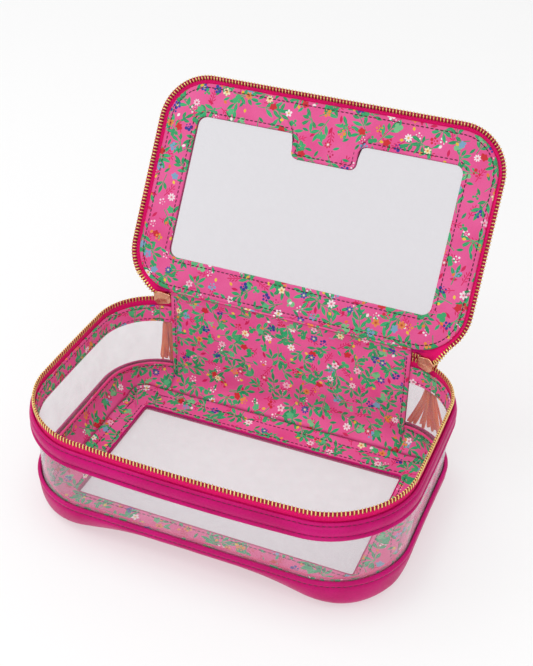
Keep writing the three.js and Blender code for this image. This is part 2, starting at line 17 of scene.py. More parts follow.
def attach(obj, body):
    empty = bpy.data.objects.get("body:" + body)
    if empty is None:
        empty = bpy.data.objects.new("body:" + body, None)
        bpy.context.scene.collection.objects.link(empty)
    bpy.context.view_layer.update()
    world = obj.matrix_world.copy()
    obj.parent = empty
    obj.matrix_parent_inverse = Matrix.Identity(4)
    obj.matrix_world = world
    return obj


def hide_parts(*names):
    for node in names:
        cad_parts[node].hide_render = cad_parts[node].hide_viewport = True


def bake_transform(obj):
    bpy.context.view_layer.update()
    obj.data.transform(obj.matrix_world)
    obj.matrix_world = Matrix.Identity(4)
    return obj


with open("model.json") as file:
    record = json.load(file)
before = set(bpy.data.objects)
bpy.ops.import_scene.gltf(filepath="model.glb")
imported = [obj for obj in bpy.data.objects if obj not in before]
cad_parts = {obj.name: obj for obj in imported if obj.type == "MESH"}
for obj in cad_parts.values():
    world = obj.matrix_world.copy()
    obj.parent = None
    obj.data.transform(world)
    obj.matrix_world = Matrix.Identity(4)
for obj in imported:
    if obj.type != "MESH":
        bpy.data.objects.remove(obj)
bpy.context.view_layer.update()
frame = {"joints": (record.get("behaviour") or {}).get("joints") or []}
JOINTS = {joint["name"]: joint for joint in frame["joints"]}

# ---------------------------------------------------------------- driving dimensions, in millimetres

MM = 0.001
HALF_LENGTH = 129.0
HALF_DEPTH = 83.5
REAR_RADIUS = 39.0
FRONT_RADIUS = 52.0
FRONT_BOW = 6.5
SIDE_BOW = 1.7
SOLE_TOP = 24.0
SOLE_ACROSS = 24.0
SOLE_CORNER = 6.0
SOLE_UP = 20.0
FRONT_SLOPE = 0.5
FRONT_CORNER = {"x": (30.0, 114.0), "y": (0.0, 50.0)}
REAR_CORNER = {"x": (97.0, 118.0), "y": (54.0, 72.0)}
CREASE = 6.2
BAND_LOW = 62.0
BAND_HIGH = 76.0
CHAIN = 83.5
HINGE_Y = 78.5
HINGE_Z = 92.0
LID_SLOPE = math.radians(57.0)

LEATHER = 1.4
LINING = 1.0
VINYL = 0.8
GAP = 0.3
SHEET_FACE = VINYL / 2
LINING_OUT = -SHEET_FACE - GAP
LINING_IN = LINING_OUT - LINING
LEATHER_IN = SHEET_FACE + GAP
LEATHER_OUT = LEATHER_IN + LEATHER
FLOOR_FACE = LEATHER + 2 * GAP + VINYL + LINING

FLOOR_WINDOW_X = 100.0
FLOOR_WINDOW_Y = 51.5
SPINE_HALF = 91.0
SPINE_TOP = 88.0
SPINE_SEAM = 2.6

LID_HALF = 122.0
LID_NEAR = 1.3
LID_FAR = 152.3
LID_RADIUS = 30.0
LID_FRAME = 23.7
LID_WINDOW_RADIUS = 6.5
NOTCH_HALF = 24.0
NOTCH_DEPTH = 17.5
NOTCH_RADIUS = 5.0
LID_LEATHER_TOP = -LINING - 2 * GAP - VINYL
LID_LEATHER_LIP = 2.0
LID_SEAM = 3.0

TOOTH_PITCH = 2.4
TOOTH_FOOT = 1.45
STITCH_PITCH = 3.4
STITCH_LENGTH = 2.6
STITCH_RADIUS = 0.36

HINGE = Vector(JOINTS["lid_hinge"]["pos_m"])
CASE_Y = HINGE.y - HINGE_Y * MM
SIDES = {"left": -1, "right": 1}


def to_world(point):
    """A point of the case's frame in millimetres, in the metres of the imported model."""
    return Vector((point[0] * MM, CASE_Y + point[1] * MM, point[2] * MM))


def to_case(point):
    return Vector((point[0] / MM, (point[1] - CASE_Y) / MM, point[2] / MM))


# ---------------------------------------------------------------- meshes

class Mesher:
    """Collects points and faces, with a print coordinate at each face's corner, all in millimetres."""

    def __init__(self):
        self.points = []
        self.faces = []
        self.prints = []

    def grid(self, rows, along, across, wrap_along=False, wrap_across=False, caps=False):
        """Rows of points joined by quads. along and across hold the print coordinates of columns and rows."""
        base = len(self.points)
        count = len(rows[0])
        for row in rows:
            self.points.extend(row)
        row_total = len(rows) if wrap_across else len(rows) - 1
        column_total = count if wrap_along else count - 1
        for i in range(row_total):
            for j in range(column_total):
                k, m = (i + 1) % len(rows), (j + 1) % count
                self.faces.append([base + i * count + j, base + i * count + m,
                                   base + k * count + m, base + k * count + j])
                self.prints.append([(along[j], across[i]), (along[j + 1], across[i]),
                                    (along[j + 1], across[i + 1]), (along[j], across[i + 1])])
        if caps:
            for j in (0, count - 1):
                ring = [base + i * count + j for i in range(len(rows))]
                self.faces.append(ring)
                self.prints.append([(along[j], across[i]) for i in range(len(rows))])

    def tube(self, rings, caps=True):
        """Rings of points, each joined to the next, for small solid things such as stitches and teeth."""
        base = len(self.points)
        count = len(rings[0])
        for ring in rings:
            self.points.extend(ring)
        for i in range(len(rings) - 1):
            for j in range(count):
                k = (j + 1) % count
                self.faces.append([base + i * count + j, base + i * count + k,
                                   base + (i + 1) * count + k, base + (i + 1) * count + j])
                self.prints.append([(j, i), (j + 1, i), (j + 1, i + 1), (j, i + 1)])
        if caps:
            last = base + (len(rings) - 1) * count
            for ring in ([base + j for j in range(count)], [last + j for j in range(count)]):
                self.faces.append(ring)
                self.prints.append([(0, 0)] * count)

    def piece(self, name, look, body, slot, node=None, smooth=True):
        """Makes the object, in a material of MAT; node is the CAD node that it stands for."""
        mesh = bpy.data.meshes.new(name)
        mesh.from_pydata([to_world(p) for p in self.points], [], self.faces)
        layer = mesh.uv_layers.new(name="Print")
        flat = [value * MM * 10 for corners in self.prints for corner in corners for value in corner]
        layer.data.foreach_set("uv", flat)
        mesh.polygons.foreach_set("use_smooth", [smooth] * len(mesh.polygons))
        obj = bpy.data.objects.new(name, mesh)
        bpy.context.scene.collection.objects.link(obj)
        tidy_normals(mesh)
        mesh.materials.append(MAT[look])
        if body:
            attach(obj, body)
        if node:
            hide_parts(node)
        return obj


def tidy_normals(mesh):
    """Turns every face outwards."""
    work = bmesh.new()
    work.from_mesh(mesh)
    bmesh.ops.recalc_face_normals(work, faces=work.faces)
    work.to_mesh(mesh)
    work.free()


def running_lengths(points, closed=False):
    """The distance along a row of points up to each one, and round to the first again where it is closed."""
    lengths = [0.0]
    path = list(points) + ([points[0]] if closed else [])
    for before, after in zip(path, path[1:]):
        lengths.append(lengths[-1] + (after - before).length)
    return lengths


def ripple(point, size, seed=0.0):
    """Smooth noise from -1 to 1 with features of about size millimetres."""
    return perlin.noise(Vector((point[0], point[1], point[2])) / size + Vector((seed, seed, seed)))


# ---------------------------------------------------------------- plan loops

class Loop:
    """A closed outline in a plane with rounded corners, each given as (x, y, radius), anticlockwise."""

    def __init__(self, corners, step=2.0):
        self.points = []
        spots = []
        count = len(corners)
        for i, (x, y, radius) in enumerate(corners):
            corner = Vector((x, y))
            before = (Vector(corners[i - 1][:2]) - corner).normalized()
            after = (Vector(corners[(i + 1) % count][:2]) - corner).normalized()
            bend = math.pi - before.angle(after)
            cut = radius * math.tan(bend / 2)
            start, end = corner + before * cut, corner + after * cut
            inward = (before + after).normalized()
            centre = corner + inward * radius / math.cos(bend / 2)
            steps = max(6, 2 * math.ceil(radius * bend / step / 2))
            turn = (start - centre).angle_signed(end - centre)
            for k in range(steps + 1):
                arm = start - centre
                angle = -turn * k / steps
                arm = Vector((arm.x * math.cos(angle) - arm.y * math.sin(angle),
                              arm.x * math.sin(angle) + arm.y * math.cos(angle)))
                if k == steps // 2:
                    spots.append(len(self.points))
                self.points.append(centre + arm)
        self.lengths = running_lengths(self.points, closed=True)
        self.total = self.lengths[-1]
        self.marks = [self.lengths[spot] for spot in spots]

    def at(self, s):
        s = s % self.total
        low, high = 0, len(self.points)
        while high - low > 1:
            middle = (low + high) // 2
            if self.lengths[middle] <= s:
                low = middle
            else:
                high = middle
        span = self.lengths[low + 1] - self.lengths[low]
        share = (s - self.lengths[low]) / span if span > 1e-9 else 0.0
        return self.points[low].lerp(self.points[(low + 1) % len(self.points)], share)

    def tangent(self, s):
        return (self.at(s + 0.6) - self.at(s - 0.6)).normalized()

    def offset(self, s, distance):
        along = self.tangent(s)
        return self.at(s) + Vector((along.y, -along.x)) * distance


def matched(inner, inner_corners, outer, outer_corners, step):
    """Pairs of distances along two loops that share four corners, for sheets that span between the loops."""
    pairs = []
    for i in range(4):
        a, b = inner.marks[inner_corners[i]], inner.marks[inner_corners[(i + 1) % 4]]
        c, d = outer.marks[outer_corners[i]], outer.marks[outer_corners[(i + 1) % 4]]
        b += inner.total if b < a else 0.0
        d += outer.total if d < c else 0.0
        steps = math.ceil(max(b - a, d - c) / step)
        pairs += [(a + (b - a) * k / steps, c + (d - c) * k / steps) for k in range(steps)]
    return pairs


PLAN = Loop([
    (-HALF_LENGTH, HALF_DEPTH, REAR_RADIUS), (-HALF_LENGTH, -HALF_DEPTH, FRONT_RADIUS),
    (HALF_LENGTH, -HALF_DEPTH, FRONT_RADIUS), (HALF_LENGTH, HALF_DEPTH, REAR_RADIUS),
])
# PLAN starts at the left end of the straight rear wall, so the spine's edges lie just before and after it.
REAR_STRAIGHT = 2 * (HALF_LENGTH - REAR_RADIUS)
WALL_START = SPINE_HALF - REAR_STRAIGHT / 2
WALL_END = PLAN.total - REAR_STRAIGHT - WALL_START
WALL_SPAN = (WALL_START + 0.4, WALL_END - 0.4)
SEAM_SPAN = (WALL_START + 1, WALL_END - 1)
ALL_ROUND = (0, PLAN.total)


def bow(point, z):
    """The sag of the soft rim at a height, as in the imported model."""
    share = min(max((z - SOLE_TOP) / (BAND_LOW - SOLE_TOP), 0.0), 1.0)
    x, y = point
    forwards = max(-y / HALF_DEPTH, 0.0) ** 2 * (1 - (x / HALF_LENGTH) ** 2)
    sideways = math.copysign(1, x) * (x / HALF_LENGTH) ** 2 * (1 - (y / HALF_DEPTH) ** 2)
    return Vector((x + share * SIDE_BOW * sideways, y - share * FRONT_BOW * forwards))


def wall_frame(s, z):
    """A point of the walls' mid surface with its direction along the wall and its outward normal."""
    here = bow(PLAN.at(s), z)
    along = (bow(PLAN.at(s + 0.8), z) - bow(PLAN.at(s - 0.8), z)).normalized()
    return here, Vector((along.x, along.y, 0)), Vector((along.y, -along.x, 0))


def wall(s, z, offset):
    here, _, out = wall_frame(s, z)
    return Vector((here.x, here.y, z)) + out * offset


def spread(start, end, step):
    """Evenly spaced values from start to end, a step or less apart."""
    steps = max(1, math.ceil((end - start) / step))
    return [start + (end - start) * i / steps for i in range(steps + 1)]


def turns(count, offset=0.0):
    """Angles evenly spaced round a whole turn."""
    return [2 * math.pi * (k + offset) / count for k in range(count)]


def paced(start, end, step, place):
    """Values from start to end whose places lie about a step apart along their own path."""
    values = spread(start, end, step / 10)
    lengths = running_lengths([place(value) for value in values])
    wanted = spread(0, lengths[-1], step)
    return [values[min(bisect.bisect_left(lengths, length), len(values) - 1)] for length in wanted]


def smoothstep(value, low, high):
    share = min(max((value - low) / (high - low), 0.0), 1.0)
    return share * share * (3 - 2 * share)


def dish_offset(s, z, depth):
    """How far off the wall's middle the sole's curve lies at a height, set in from its outside by a depth."""
    plain = LEATHER_OUT - depth
    if z >= SOLE_UP:
        return plain
    x, y = PLAN.at(s)
    reach = FRONT_CORNER if y < 0 else REAR_CORNER
    corner = smoothstep(abs(x), *reach["x"]) * smoothstep(abs(y), *reach["y"])
    across = (SOLE_ACROSS - depth) * (1 - corner) + SOLE_CORNER * corner
    power = 1 + FRONT_SLOPE * max(-y / HALF_DEPTH, 0.0) ** 2 * (1 - corner)
    fall = min((SOLE_UP - z) / (SOLE_UP - depth), 1.0)
    return plain - across * (1 - (1 - fall ** (2 / power)) ** (power / 2))


def lid_point(x, v, height):
    """A point of the lid: across, away from the hinge, and towards the lid's inner side."""
    sine, cosine = math.sin(LID_SLOPE), math.cos(LID_SLOPE)
    return Vector((x, HINGE_Y + v * cosine - height * sine, HINGE_Z + v * sine + height * cosine))


LID_NORMAL = (lid_point(0, 0, 1) - lid_point(0, 0, 0)).normalized()

# ---------------------------------------------------------------- materials


class Net:
    """A short way to write node trees: each call makes a node and returns its output."""

    def __init__(self, name):
        self.material = bpy.data.materials.new(name)
        self.material.use_nodes = True
        self.tree = self.material.node_tree
        self.tree.nodes.clear()
        self.output = self.tree.nodes.new("ShaderNodeOutputMaterial")

    def node(self, kind, **settings):
        made = self.tree.nodes.new(kind)
        for key, value in settings.items():
            setattr(made, key, value)
        return made

    def feed(self, socket, value):
        if isinstance(value, bpy.types.NodeSocket):
            self.tree.links.new(value, socket)
        elif value is not None:
            socket.default_value = value

    def math(self, operation, *values, clamp=False):
        made = self.node("ShaderNodeMath", operation=operation, use_clamp=clamp)
        for socket, value in zip(made.inputs, values):
            self.feed(socket, value)
        return made.outputs[0]

    def vector(self, operation, *values):
        made = self.node("ShaderNodeVectorMath", operation=operation)
        sockets = [made.inputs[0], made.inputs["Scale"] if operation == "SCALE" else made.inputs[1]]
        for socket, value in zip(sockets, values):
            self.feed(socket, value)
        return made.outputs["Value"] if operation in ("LENGTH", "DISTANCE") else made.outputs["Vector"]

    def mix(self, share, first, second):
        made = self.node("ShaderNodeMix", data_type="RGBA")
        self.feed(made.inputs[0], share)
        self.feed(made.inputs[6], first)
        self.feed(made.inputs[7], second)
        return made.outputs[2]

    def split(self, vector):
        made = self.node("ShaderNodeSeparateXYZ")
        self.feed(made.inputs[0], vector)
        return made.outputs

    def join(self, x, y, z=0.0):
        made = self.node("ShaderNodeCombineXYZ")
        for socket, value in zip(made.inputs, (x, y, z)):
            self.feed(socket, value)
        return made.outputs[0]

    def remap(self, value, low, high, to_low=0.0, to_high=1.0):
        made = self.node("ShaderNodeMapRange", clamp=True)
        for socket, number in zip(made.inputs, (value, low, high, to_low, to_high)):
            self.feed(socket, number)
        return made.outputs[0]

    def noise(self, coordinates, scale, detail=2.0, roughness=0.5):
        made = self.node("ShaderNodeTexNoise")
        self.feed(made.inputs["Vector"], coordinates)
        made.inputs["Scale"].default_value = scale
        made.inputs["Detail"].default_value = detail
        made.inputs["Roughness"].default_value = roughness
        return made.outputs[0]

    def cells(self, coordinates, scale, feature="F1", randomness=1.0):
        made = self.node("ShaderNodeTexVoronoi", feature=feature)
        self.feed(made.inputs["Vector"], coordinates)
        made.inputs["Scale"].default_value = scale
        made.inputs["Randomness"].default_value = randomness
        return made.outputs["Distance"]

    def random(self, vector):
        """Four random numbers for each value of a vector."""
        made = self.node("ShaderNodeTexWhiteNoise", noise_dimensions="3D")
        self.feed(made.inputs["Vector"], vector)
        colour = self.node("ShaderNodeSeparateColor")
        self.tree.links.new(made.outputs["Color"], colour.inputs[0])
        return [made.outputs["Value"], *colour.outputs]

    def bump(self, height, distance, strength=1.0, normal=None):
        made = self.node("ShaderNodeBump")
        self.feed(made.inputs["Height"], height)
        made.inputs["Distance"].default_value = distance
        made.inputs["Strength"].default_value = strength
        self.feed(made.inputs["Normal"], normal)
        return made.outputs[0]

    def millimetres(self):
        """Object coordinates in millimetres."""
        made = self.node("ShaderNodeTexCoord")
        return self.vector("SCALE", made.outputs["Object"], 1 / MM)

    def print_place(self):
        """The print coordinate in millimetres."""
        made = self.node("ShaderNodeUVMap", uv_map="Print")
        return self.vector("SCALE", made.outputs[0], 1 / (MM * 10))

    def finish(self, colour, roughness, normal=None, **constants):
        """A Principled surface; the constants are set on its own sockets."""
        shader = self.node("ShaderNodeBsdfPrincipled")
        self.feed(shader.inputs["Base Color"], colour)
        self.feed(shader.inputs["Roughness"], roughness)
        self.feed(shader.inputs["Normal"], normal)
        for key, value in constants.items():
            shader.inputs[key.replace("_", " ")].default_value = value
        self.tree.links.new(shader.outputs[0], self.output.inputs["Surface"])
        return self.material


def rgb(red, green, blue):
    """A display colour from 0 to 255 as a linear one."""
    linear = [((c / 255 + 0.055) / 1.055) ** 2.4 if c > 10 else c / 255 / 12.92 for c in (red, green, blue)]
    return (*linear, 1.0)


def leather_material(name, base, light, deep, grain=0.9, roughness=0.36):
    net = Net(name)
    place = net.millimetres()
    tone = net.noise(place, 0.035, 3)
    fine = net.noise(place, 0.6, 4, 0.6)
    pores = net.cells(place, grain)
    creases = net.cells(place, grain * 0.45, "DISTANCE_TO_EDGE")
    colour = net.mix(net.remap(tone, 0.35, 0.7), base, light)
    colour = net.mix(net.remap(pores, 0.0, 0.55, 0.35, 0.0), colour, deep)
    rough = net.remap(fine, 0.3, 0.7, roughness - 0.07, roughness + 0.1)
    normal = net.bump(creases, 0.00012, 0.25)
    normal = net.bump(pores, 0.00009, 0.5, normal)
    normal = net.bump(fine, 0.00006, 0.35, normal)
    return net.finish(colour, rough, normal, Specular_IOR_Level=0.16)


PRINT_SCALE = 1.5
PRINT_PINK = rgb(240, 100, 162)
PRINT_PINK_DEEP = rgb(232, 80, 146)
GREENS = (rgb(0, 146, 90), rgb(24, 180, 116))
LEAVES = [rgb(10, 152, 104), rgb(24, 172, 118), rgb(214, 26, 88), rgb(12, 150, 92)]
CRIMSONS = (rgb(226, 34, 100), rgb(212, 24, 84))
CLOVERS = [rgb(60, 182, 116), rgb(36, 166, 104), rgb(120, 200, 140), rgb(50, 172, 110)]
BERRIES = [rgb(48, 66, 160), rgb(120, 170, 205), rgb(238, 150, 60), rgb(40, 60, 150), rgb(214, 40, 60)]
TINY = [rgb(250, 240, 244), rgb(252, 214, 226), rgb(196, 20, 80), rgb(250, 246, 240)]
PETALS = [rgb(252, 238, 242), rgb(250, 200, 218), rgb(250, 238, 190), rgb(36, 66, 170),
          rgb(252, 222, 232), rgb(236, 146, 70), rgb(250, 244, 246), rgb(214, 30, 80)]
HEARTS = [rgb(232, 120, 150), rgb(226, 90, 130), rgb(226, 150, 60), rgb(240, 226, 160),
          rgb(216, 60, 110), rgb(196, 78, 50), rgb(236, 190, 90), rgb(252, 230, 236)]
SMALL = [rgb(238, 196, 50), rgb(244, 210, 70), rgb(238, 190, 60), rgb(240, 150, 70),
         rgb(250, 240, 240), rgb(236, 130, 60)]
LARGE = [rgb(218, 34, 44), rgb(72, 186, 122), rgb(126, 172, 204), rgb(88, 192, 132),
         rgb(214, 30, 50), rgb(84, 190, 130)]


class Print:
    """A small scattered floral print: each layer puts one motif in each cell of a turned grid."""

    def __init__(self, net):
        self.net = net
        self.place = net.vector("SCALE", net.print_place(), 1 / PRINT_SCALE)

    def pick(self, value, colours):
        ramp = self.net.node("ShaderNodeValToRGB")
        ramp.color_ramp.interpolation = "CONSTANT"
        elements = ramp.color_ramp.elements
        while len(elements) < len(colours):
            elements.new(0.5)
        for i, (element, colour) in enumerate(zip(elements, colours)):
            element.position = i / len(colours)
        for element, colour in zip(elements, colours):
            element.color = colour
        self.net.feed(ramp.inputs[0], value)
        return ramp.outputs[0]

    def layer(self, cell, turn, seed, jitter):
        """The place inside a cell in millimetres, turned at random, with the cell's random numbers."""
        net = self.net
        rotate = net.node("ShaderNodeVectorRotate", rotation_type="Z_AXIS")
        net.feed(rotate.inputs["Vector"], self.place)
        rotate.inputs["Angle"].default_value = math.radians(turn)
        grid = net.vector("ADD", net.vector("SCALE", rotate.outputs[0], 1 / cell), (seed, seed * 1.7, 0))
        number = net.vector("FLOOR", grid)
        chance = net.random(net.vector("ADD", number, (0.37, 0.61, seed)))
        inside = net.vector("SUBTRACT", net.vector("FRACTION", grid), (0.5, 0.5, 0))
        shift = net.join(net.math("MULTIPLY_ADD", chance[1], jitter, -jitter / 2),
                         net.math("MULTIPLY_ADD", chance[2], jitter, -jitter / 2))
        local = net.vector("SCALE", net.vector("SUBTRACT", inside, shift), cell)
        spin = net.node("ShaderNodeVectorRotate", rotation_type="Z_AXIS")
        net.feed(spin.inputs["Vector"], local)
        net.feed(spin.inputs["Angle"], net.math("MULTIPLY", chance[0], 2 * math.pi))
        x, y, _ = net.split(spin.outputs[0])
        return x, y, chance

    def inside(self, depth):
        """1 where a signed depth is above zero, with a thin soft edge."""
        return self.net.remap(depth, -0.06, 0.06)

    def leaf(self, along, across, start, length, width):
        net = self.net
        share = net.math("DIVIDE", net.math("SUBTRACT", along, start), length)
        share = net.math("MINIMUM", net.math("MAXIMUM", share, 0.0), 1.0)
        half = net.math("MULTIPLY", net.math("SINE", net.math("MULTIPLY", share, math.pi)), width)
        return net.math("SUBTRACT", net.math("SUBTRACT", half, net.math("ABSOLUTE", across)), 0.08)

    def stalk(self, along, across, start, end):
        """A thin stem between two places along a line."""
        net = self.net
        middle, half = (start + end) / 2, (end - start) / 2
        reach = net.math("SUBTRACT", half, net.math("ABSOLUTE", net.math("SUBTRACT", along, middle)))
        return net.math("MINIMUM", net.math("SUBTRACT", 0.2, net.math("ABSOLUTE", across)), reach)

    def fan(self, cell, turn, seed, jitter, leaves, spread_angle, start, length, width, kept_share):
        """Pointed leaves that spread from one spot, some way round it."""
        net = self.net
        x, y, chance = self.layer(cell, turn, seed, jitter)
        radius = net.vector("LENGTH", net.join(x, y))
        angle = net.math("ARCTAN2", y, x)
        pitch = math.radians(spread_angle)
        half = (leaves - 1) / 2
        index = net.math("ROUND", net.math("DIVIDE", angle, pitch))
        index = net.math("MINIMUM", net.math("MAXIMUM", index, -half), half)
        own = net.random(net.join(index, chance[0], chance[3]))
        tilt = net.math("MULTIPLY_ADD", own[1], 0.30, -0.15)
        local = net.math("SUBTRACT", angle, net.math("MULTIPLY_ADD", index, pitch, tilt))
        along = net.math("MULTIPLY", radius, net.math("COSINE", local))
        across = net.math("MULTIPLY", radius, net.math("SINE", local))
        long = net.math("MULTIPLY_ADD", own[2], 0.35 * length, 0.75 * length)
        depth = net.math("MAXIMUM", self.leaf(along, across, start, long, width),
                         self.stalk(along, across, 0.0, start + 0.5))
        kept = net.math("LESS_THAN", chance[2], kept_share)
        return net.math("MULTIPLY", self.inside(depth), kept), self.green(own[0], across)

    def green(self, chance, across):
        """A leaf's colour: one of two greens at random with a pale vein."""
        vein = self.net.remap(self.net.math("ABSOLUTE", across), 0.0, 0.14, 0.4, 0.0)
        return self.net.mix(vein, self.net.mix(chance, *GREENS), rgb(150, 222, 160))

    def sprig(self, cell, turn, seed, jitter, pairs, pitch, length, width, kept_share, colours=None):
        """A stem with pairs of pointed leaves and one leaf at its tip."""
        net = self.net
        x, y, chance = self.layer(cell, turn, seed, jitter)
        lean = math.radians(42)
        side = net.math("ABSOLUTE", y)
        slanted = net.math("SUBTRACT", x, net.math("MULTIPLY", side, 1 / math.tan(lean)))
        index = net.math("ROUND", net.math("DIVIDE", slanted, pitch))
        index = net.math("MINIMUM", net.math("MAXIMUM", index, -pairs + 1.0), 0.0)
        own = net.random(net.join(index, net.math("SIGN", y), chance[3]))
        root = net.math("SUBTRACT", x, net.math("MULTIPLY", index, pitch))
        along = net.math("ADD", net.math("MULTIPLY", root, math.cos(lean)),
                         net.math("MULTIPLY", side, math.sin(lean)))
        across = net.math("SUBTRACT", net.math("MULTIPLY", side, math.cos(lean)),
                          net.math("MULTIPLY", root, math.sin(lean)))
        long = net.math("MULTIPLY_ADD", own[1], 0.45 * length, 0.65 * length)
        leaves = self.leaf(along, across, 0.3, long, width)
        tip = self.leaf(x, y, pitch * 0.35, length, width)
        stem = self.stalk(x, y, -pairs * pitch, pitch)
        depth = net.math("MAXIMUM", net.math("MAXIMUM", leaves, tip), stem)
        kept = net.math("LESS_THAN", chance[2], kept_share)
        colour = self.green(own[0], across) if colours is None else net.mix(own[0], *colours)
        return net.math("MULTIPLY", self.inside(depth), kept), colour

    def flower(self, cell, turn, seed, jitter, radius, kept_share):
        """Round flowers of five to eight petals with a heart."""
        net = self.net
        x, y, chance = self.layer(cell, turn, seed, jitter)
        distance = net.vector("LENGTH", net.join(x, y))
        angle = net.math("ARCTAN2", y, x)
        petals = net.math("ADD", net.math("FLOOR", net.math("MULTIPLY", chance[2], 3.99)), 5.0)
        half_turns = net.math("MULTIPLY", angle, net.math("MULTIPLY", petals, 0.5))
        wave = net.math("ABSOLUTE", net.math("COSINE", half_turns))
        size = net.math("MULTIPLY_ADD", chance[1], 0.35 * radius, 0.75 * radius)
        edge = net.math("MULTIPLY", size, net.math("MULTIPLY_ADD", wave, 0.5, 0.5))
        mask = self.inside(net.math("SUBTRACT", edge, distance))
        heart = self.inside(net.math("SUBTRACT", net.math("MULTIPLY", size, 0.26), distance))
        colour = self.pick(chance[3], PETALS)
        shade = net.remap(net.math("DIVIDE", distance, size), 0.2, 0.65, 0.35, 0.0)
        colour = net.mix(shade, colour, self.pick(chance[3], HEARTS))
        colour = net.mix(heart, colour, self.pick(chance[3], HEARTS))
        kept = net.math("LESS_THAN", chance[0], kept_share)
        return net.math("MULTIPLY", mask, kept), colour

    def posy(self, cell, turn, seed, jitter, count, ring, dot, colours, kept_share):
        """Small round buds in a ring."""
        net = self.net
        x, y, chance = self.layer(cell, turn, seed, jitter)
        radius = net.vector("LENGTH", net.join(x, y))
        angle = net.math("ARCTAN2", y, x)
        pitch = 2 * math.pi / count
        index = net.math("ROUND", net.math("DIVIDE", angle, pitch))
        local = net.math("SUBTRACT", angle, net.math("MULTIPLY", index, pitch))
        dx = net.math("SUBTRACT", net.math("MULTIPLY", radius, net.math("COSINE", local)), ring)
        dy = net.math("MULTIPLY", radius, net.math("SINE", local))
        own = net.random(net.join(index, chance[1], chance[2]))
        size = net.math("MULTIPLY", own[1], dot)
        size = net.math("ADD", size, dot * 0.4)
        mask = self.inside(net.math("SUBTRACT", size, net.vector("LENGTH", net.join(dx, dy))))
        centre = self.inside(net.math("SUBTRACT", dot * 0.5, radius))
        kept = net.math("LESS_THAN", chance[0], kept_share)
        colour = self.pick(chance[3], colours)
        return net.math("MULTIPLY", net.math("MAXIMUM", mask, centre), kept), colour

    def speck(self, cell, turn, seed, jitter, long, wide, colours, kept_share):
        """Single buds and small leaves."""
        net = self.net
        x, y, chance = self.layer(cell, turn, seed, jitter)
        depth = self.leaf(net.math("ADD", x, long / 2), y, 0.0, long, wide)
        kept = net.math("LESS_THAN", chance[2], kept_share)
        return net.math("MULTIPLY", self.inside(depth), kept), self.pick(chance[3], colours)

    def round_leaf(self, cell, turn, seed, jitter, radius, kept_share):
        """Round leaves, fruit and blossoms with fine veins."""
        net = self.net
        x, y, chance = self.layer(cell, turn, seed, jitter)
        stretched = net.vector("LENGTH", net.join(x, net.math("MULTIPLY", y, 1.2)))
        angle = net.math("ARCTAN2", y, x)
        lobes = net.math("MULTIPLY", net.math("SINE", net.math("MULTIPLY", angle, 5.0)), 0.14 * radius)
        depth = net.math("SUBTRACT", net.math("ADD", lobes, radius * 0.9), stretched)
        vein = net.math("SINE", net.math("MULTIPLY", angle, 9.0))
        shade = net.remap(vein, 0.7, 1.0, 0.0, 0.3)
        colour = net.mix(shade, self.pick(chance[3], LARGE), rgb(30, 130, 90))
        kept = net.math("LESS_THAN", chance[1], kept_share)
        return net.math("MULTIPLY", self.inside(depth), kept), colour


def floral_material(name, shade=1.0):
    """Pink coated leather cloth with the scattered print and a fine grain; a shade below 1 darkens it all
    towards black, as painted shade.
    """
    net = Net(name)
    motif = Print(net)
    tone = net.noise(motif.place, 0.05, 2)
    colour = net.mix(net.remap(tone, 0.3, 0.7), PRINT_PINK, PRINT_PINK_DEEP)
    layers = [
        motif.sprig(11.0, 40, 6.6, 0.3, 3, 1.6, 2.4, 0.34, 0.75, CRIMSONS),
        motif.speck(6.6, 21, 3.1, 0.5, 3.9, 0.75, LEAVES, 0.8),
        motif.posy(12.0, 8, 3.7, 0.3, 5, 1.3, 0.4, TINY, 0.5),
        motif.sprig(14.0, 14, 1.3, 0.2, 2, 3.8, 5.6, 0.92, 0.8),
        motif.fan(12.5, 48, 5.3, 0.25, 5, 46, 1.0, 5.2, 0.88, 0.62),
        motif.sprig(14.5, 66, 8.8, 0.2, 1, 3.7, 5.4, 0.9, 0.8),
        motif.posy(11.0, 55, 1.9, 0.3, 3, 1.15, 1.05, CLOVERS, 0.6),
        motif.round_leaf(13.0, 33, 9.4, 0.5, 2.0, 0.55),
        motif.posy(12.0, 29, 4.2, 0.35, 5, 1.35, 0.66, BERRIES, 0.6),
        motif.flower(11.5, 5, 4.6, 0.45, 2.25, 0.48),
        motif.speck(8.5, 63, 8.3, 0.5, 2.2, 0.75, SMALL, 0.5),
    ]
    for mask, paint in layers:
        colour = net.mix(mask, colour, paint)
    # Painted shade: a shade below 1 darkens the whole cloth towards black, for a dimmer copy of the same
    # lining.
    colour = net.mix(1.0 - shade, colour, rgb(0, 0, 0))
    place = net.millimetres()
    weave = net.cells(place, 1.6)
    fine = net.noise(place, 1.1, 3, 0.6)
    colour = net.mix(net.remap(weave, 0.1, 0.6, 0.14, 0.0), colour, rgb(170, 30, 84))
    normal = net.bump(weave, 0.00007, 0.45)
    normal = net.bump(fine, 0.00008, 0.35, normal)
    rough = net.remap(fine, 0.3, 0.7, 0.42, 0.56)
    return net.finish(colour, rough, normal, Specular_IOR_Level=0.22)


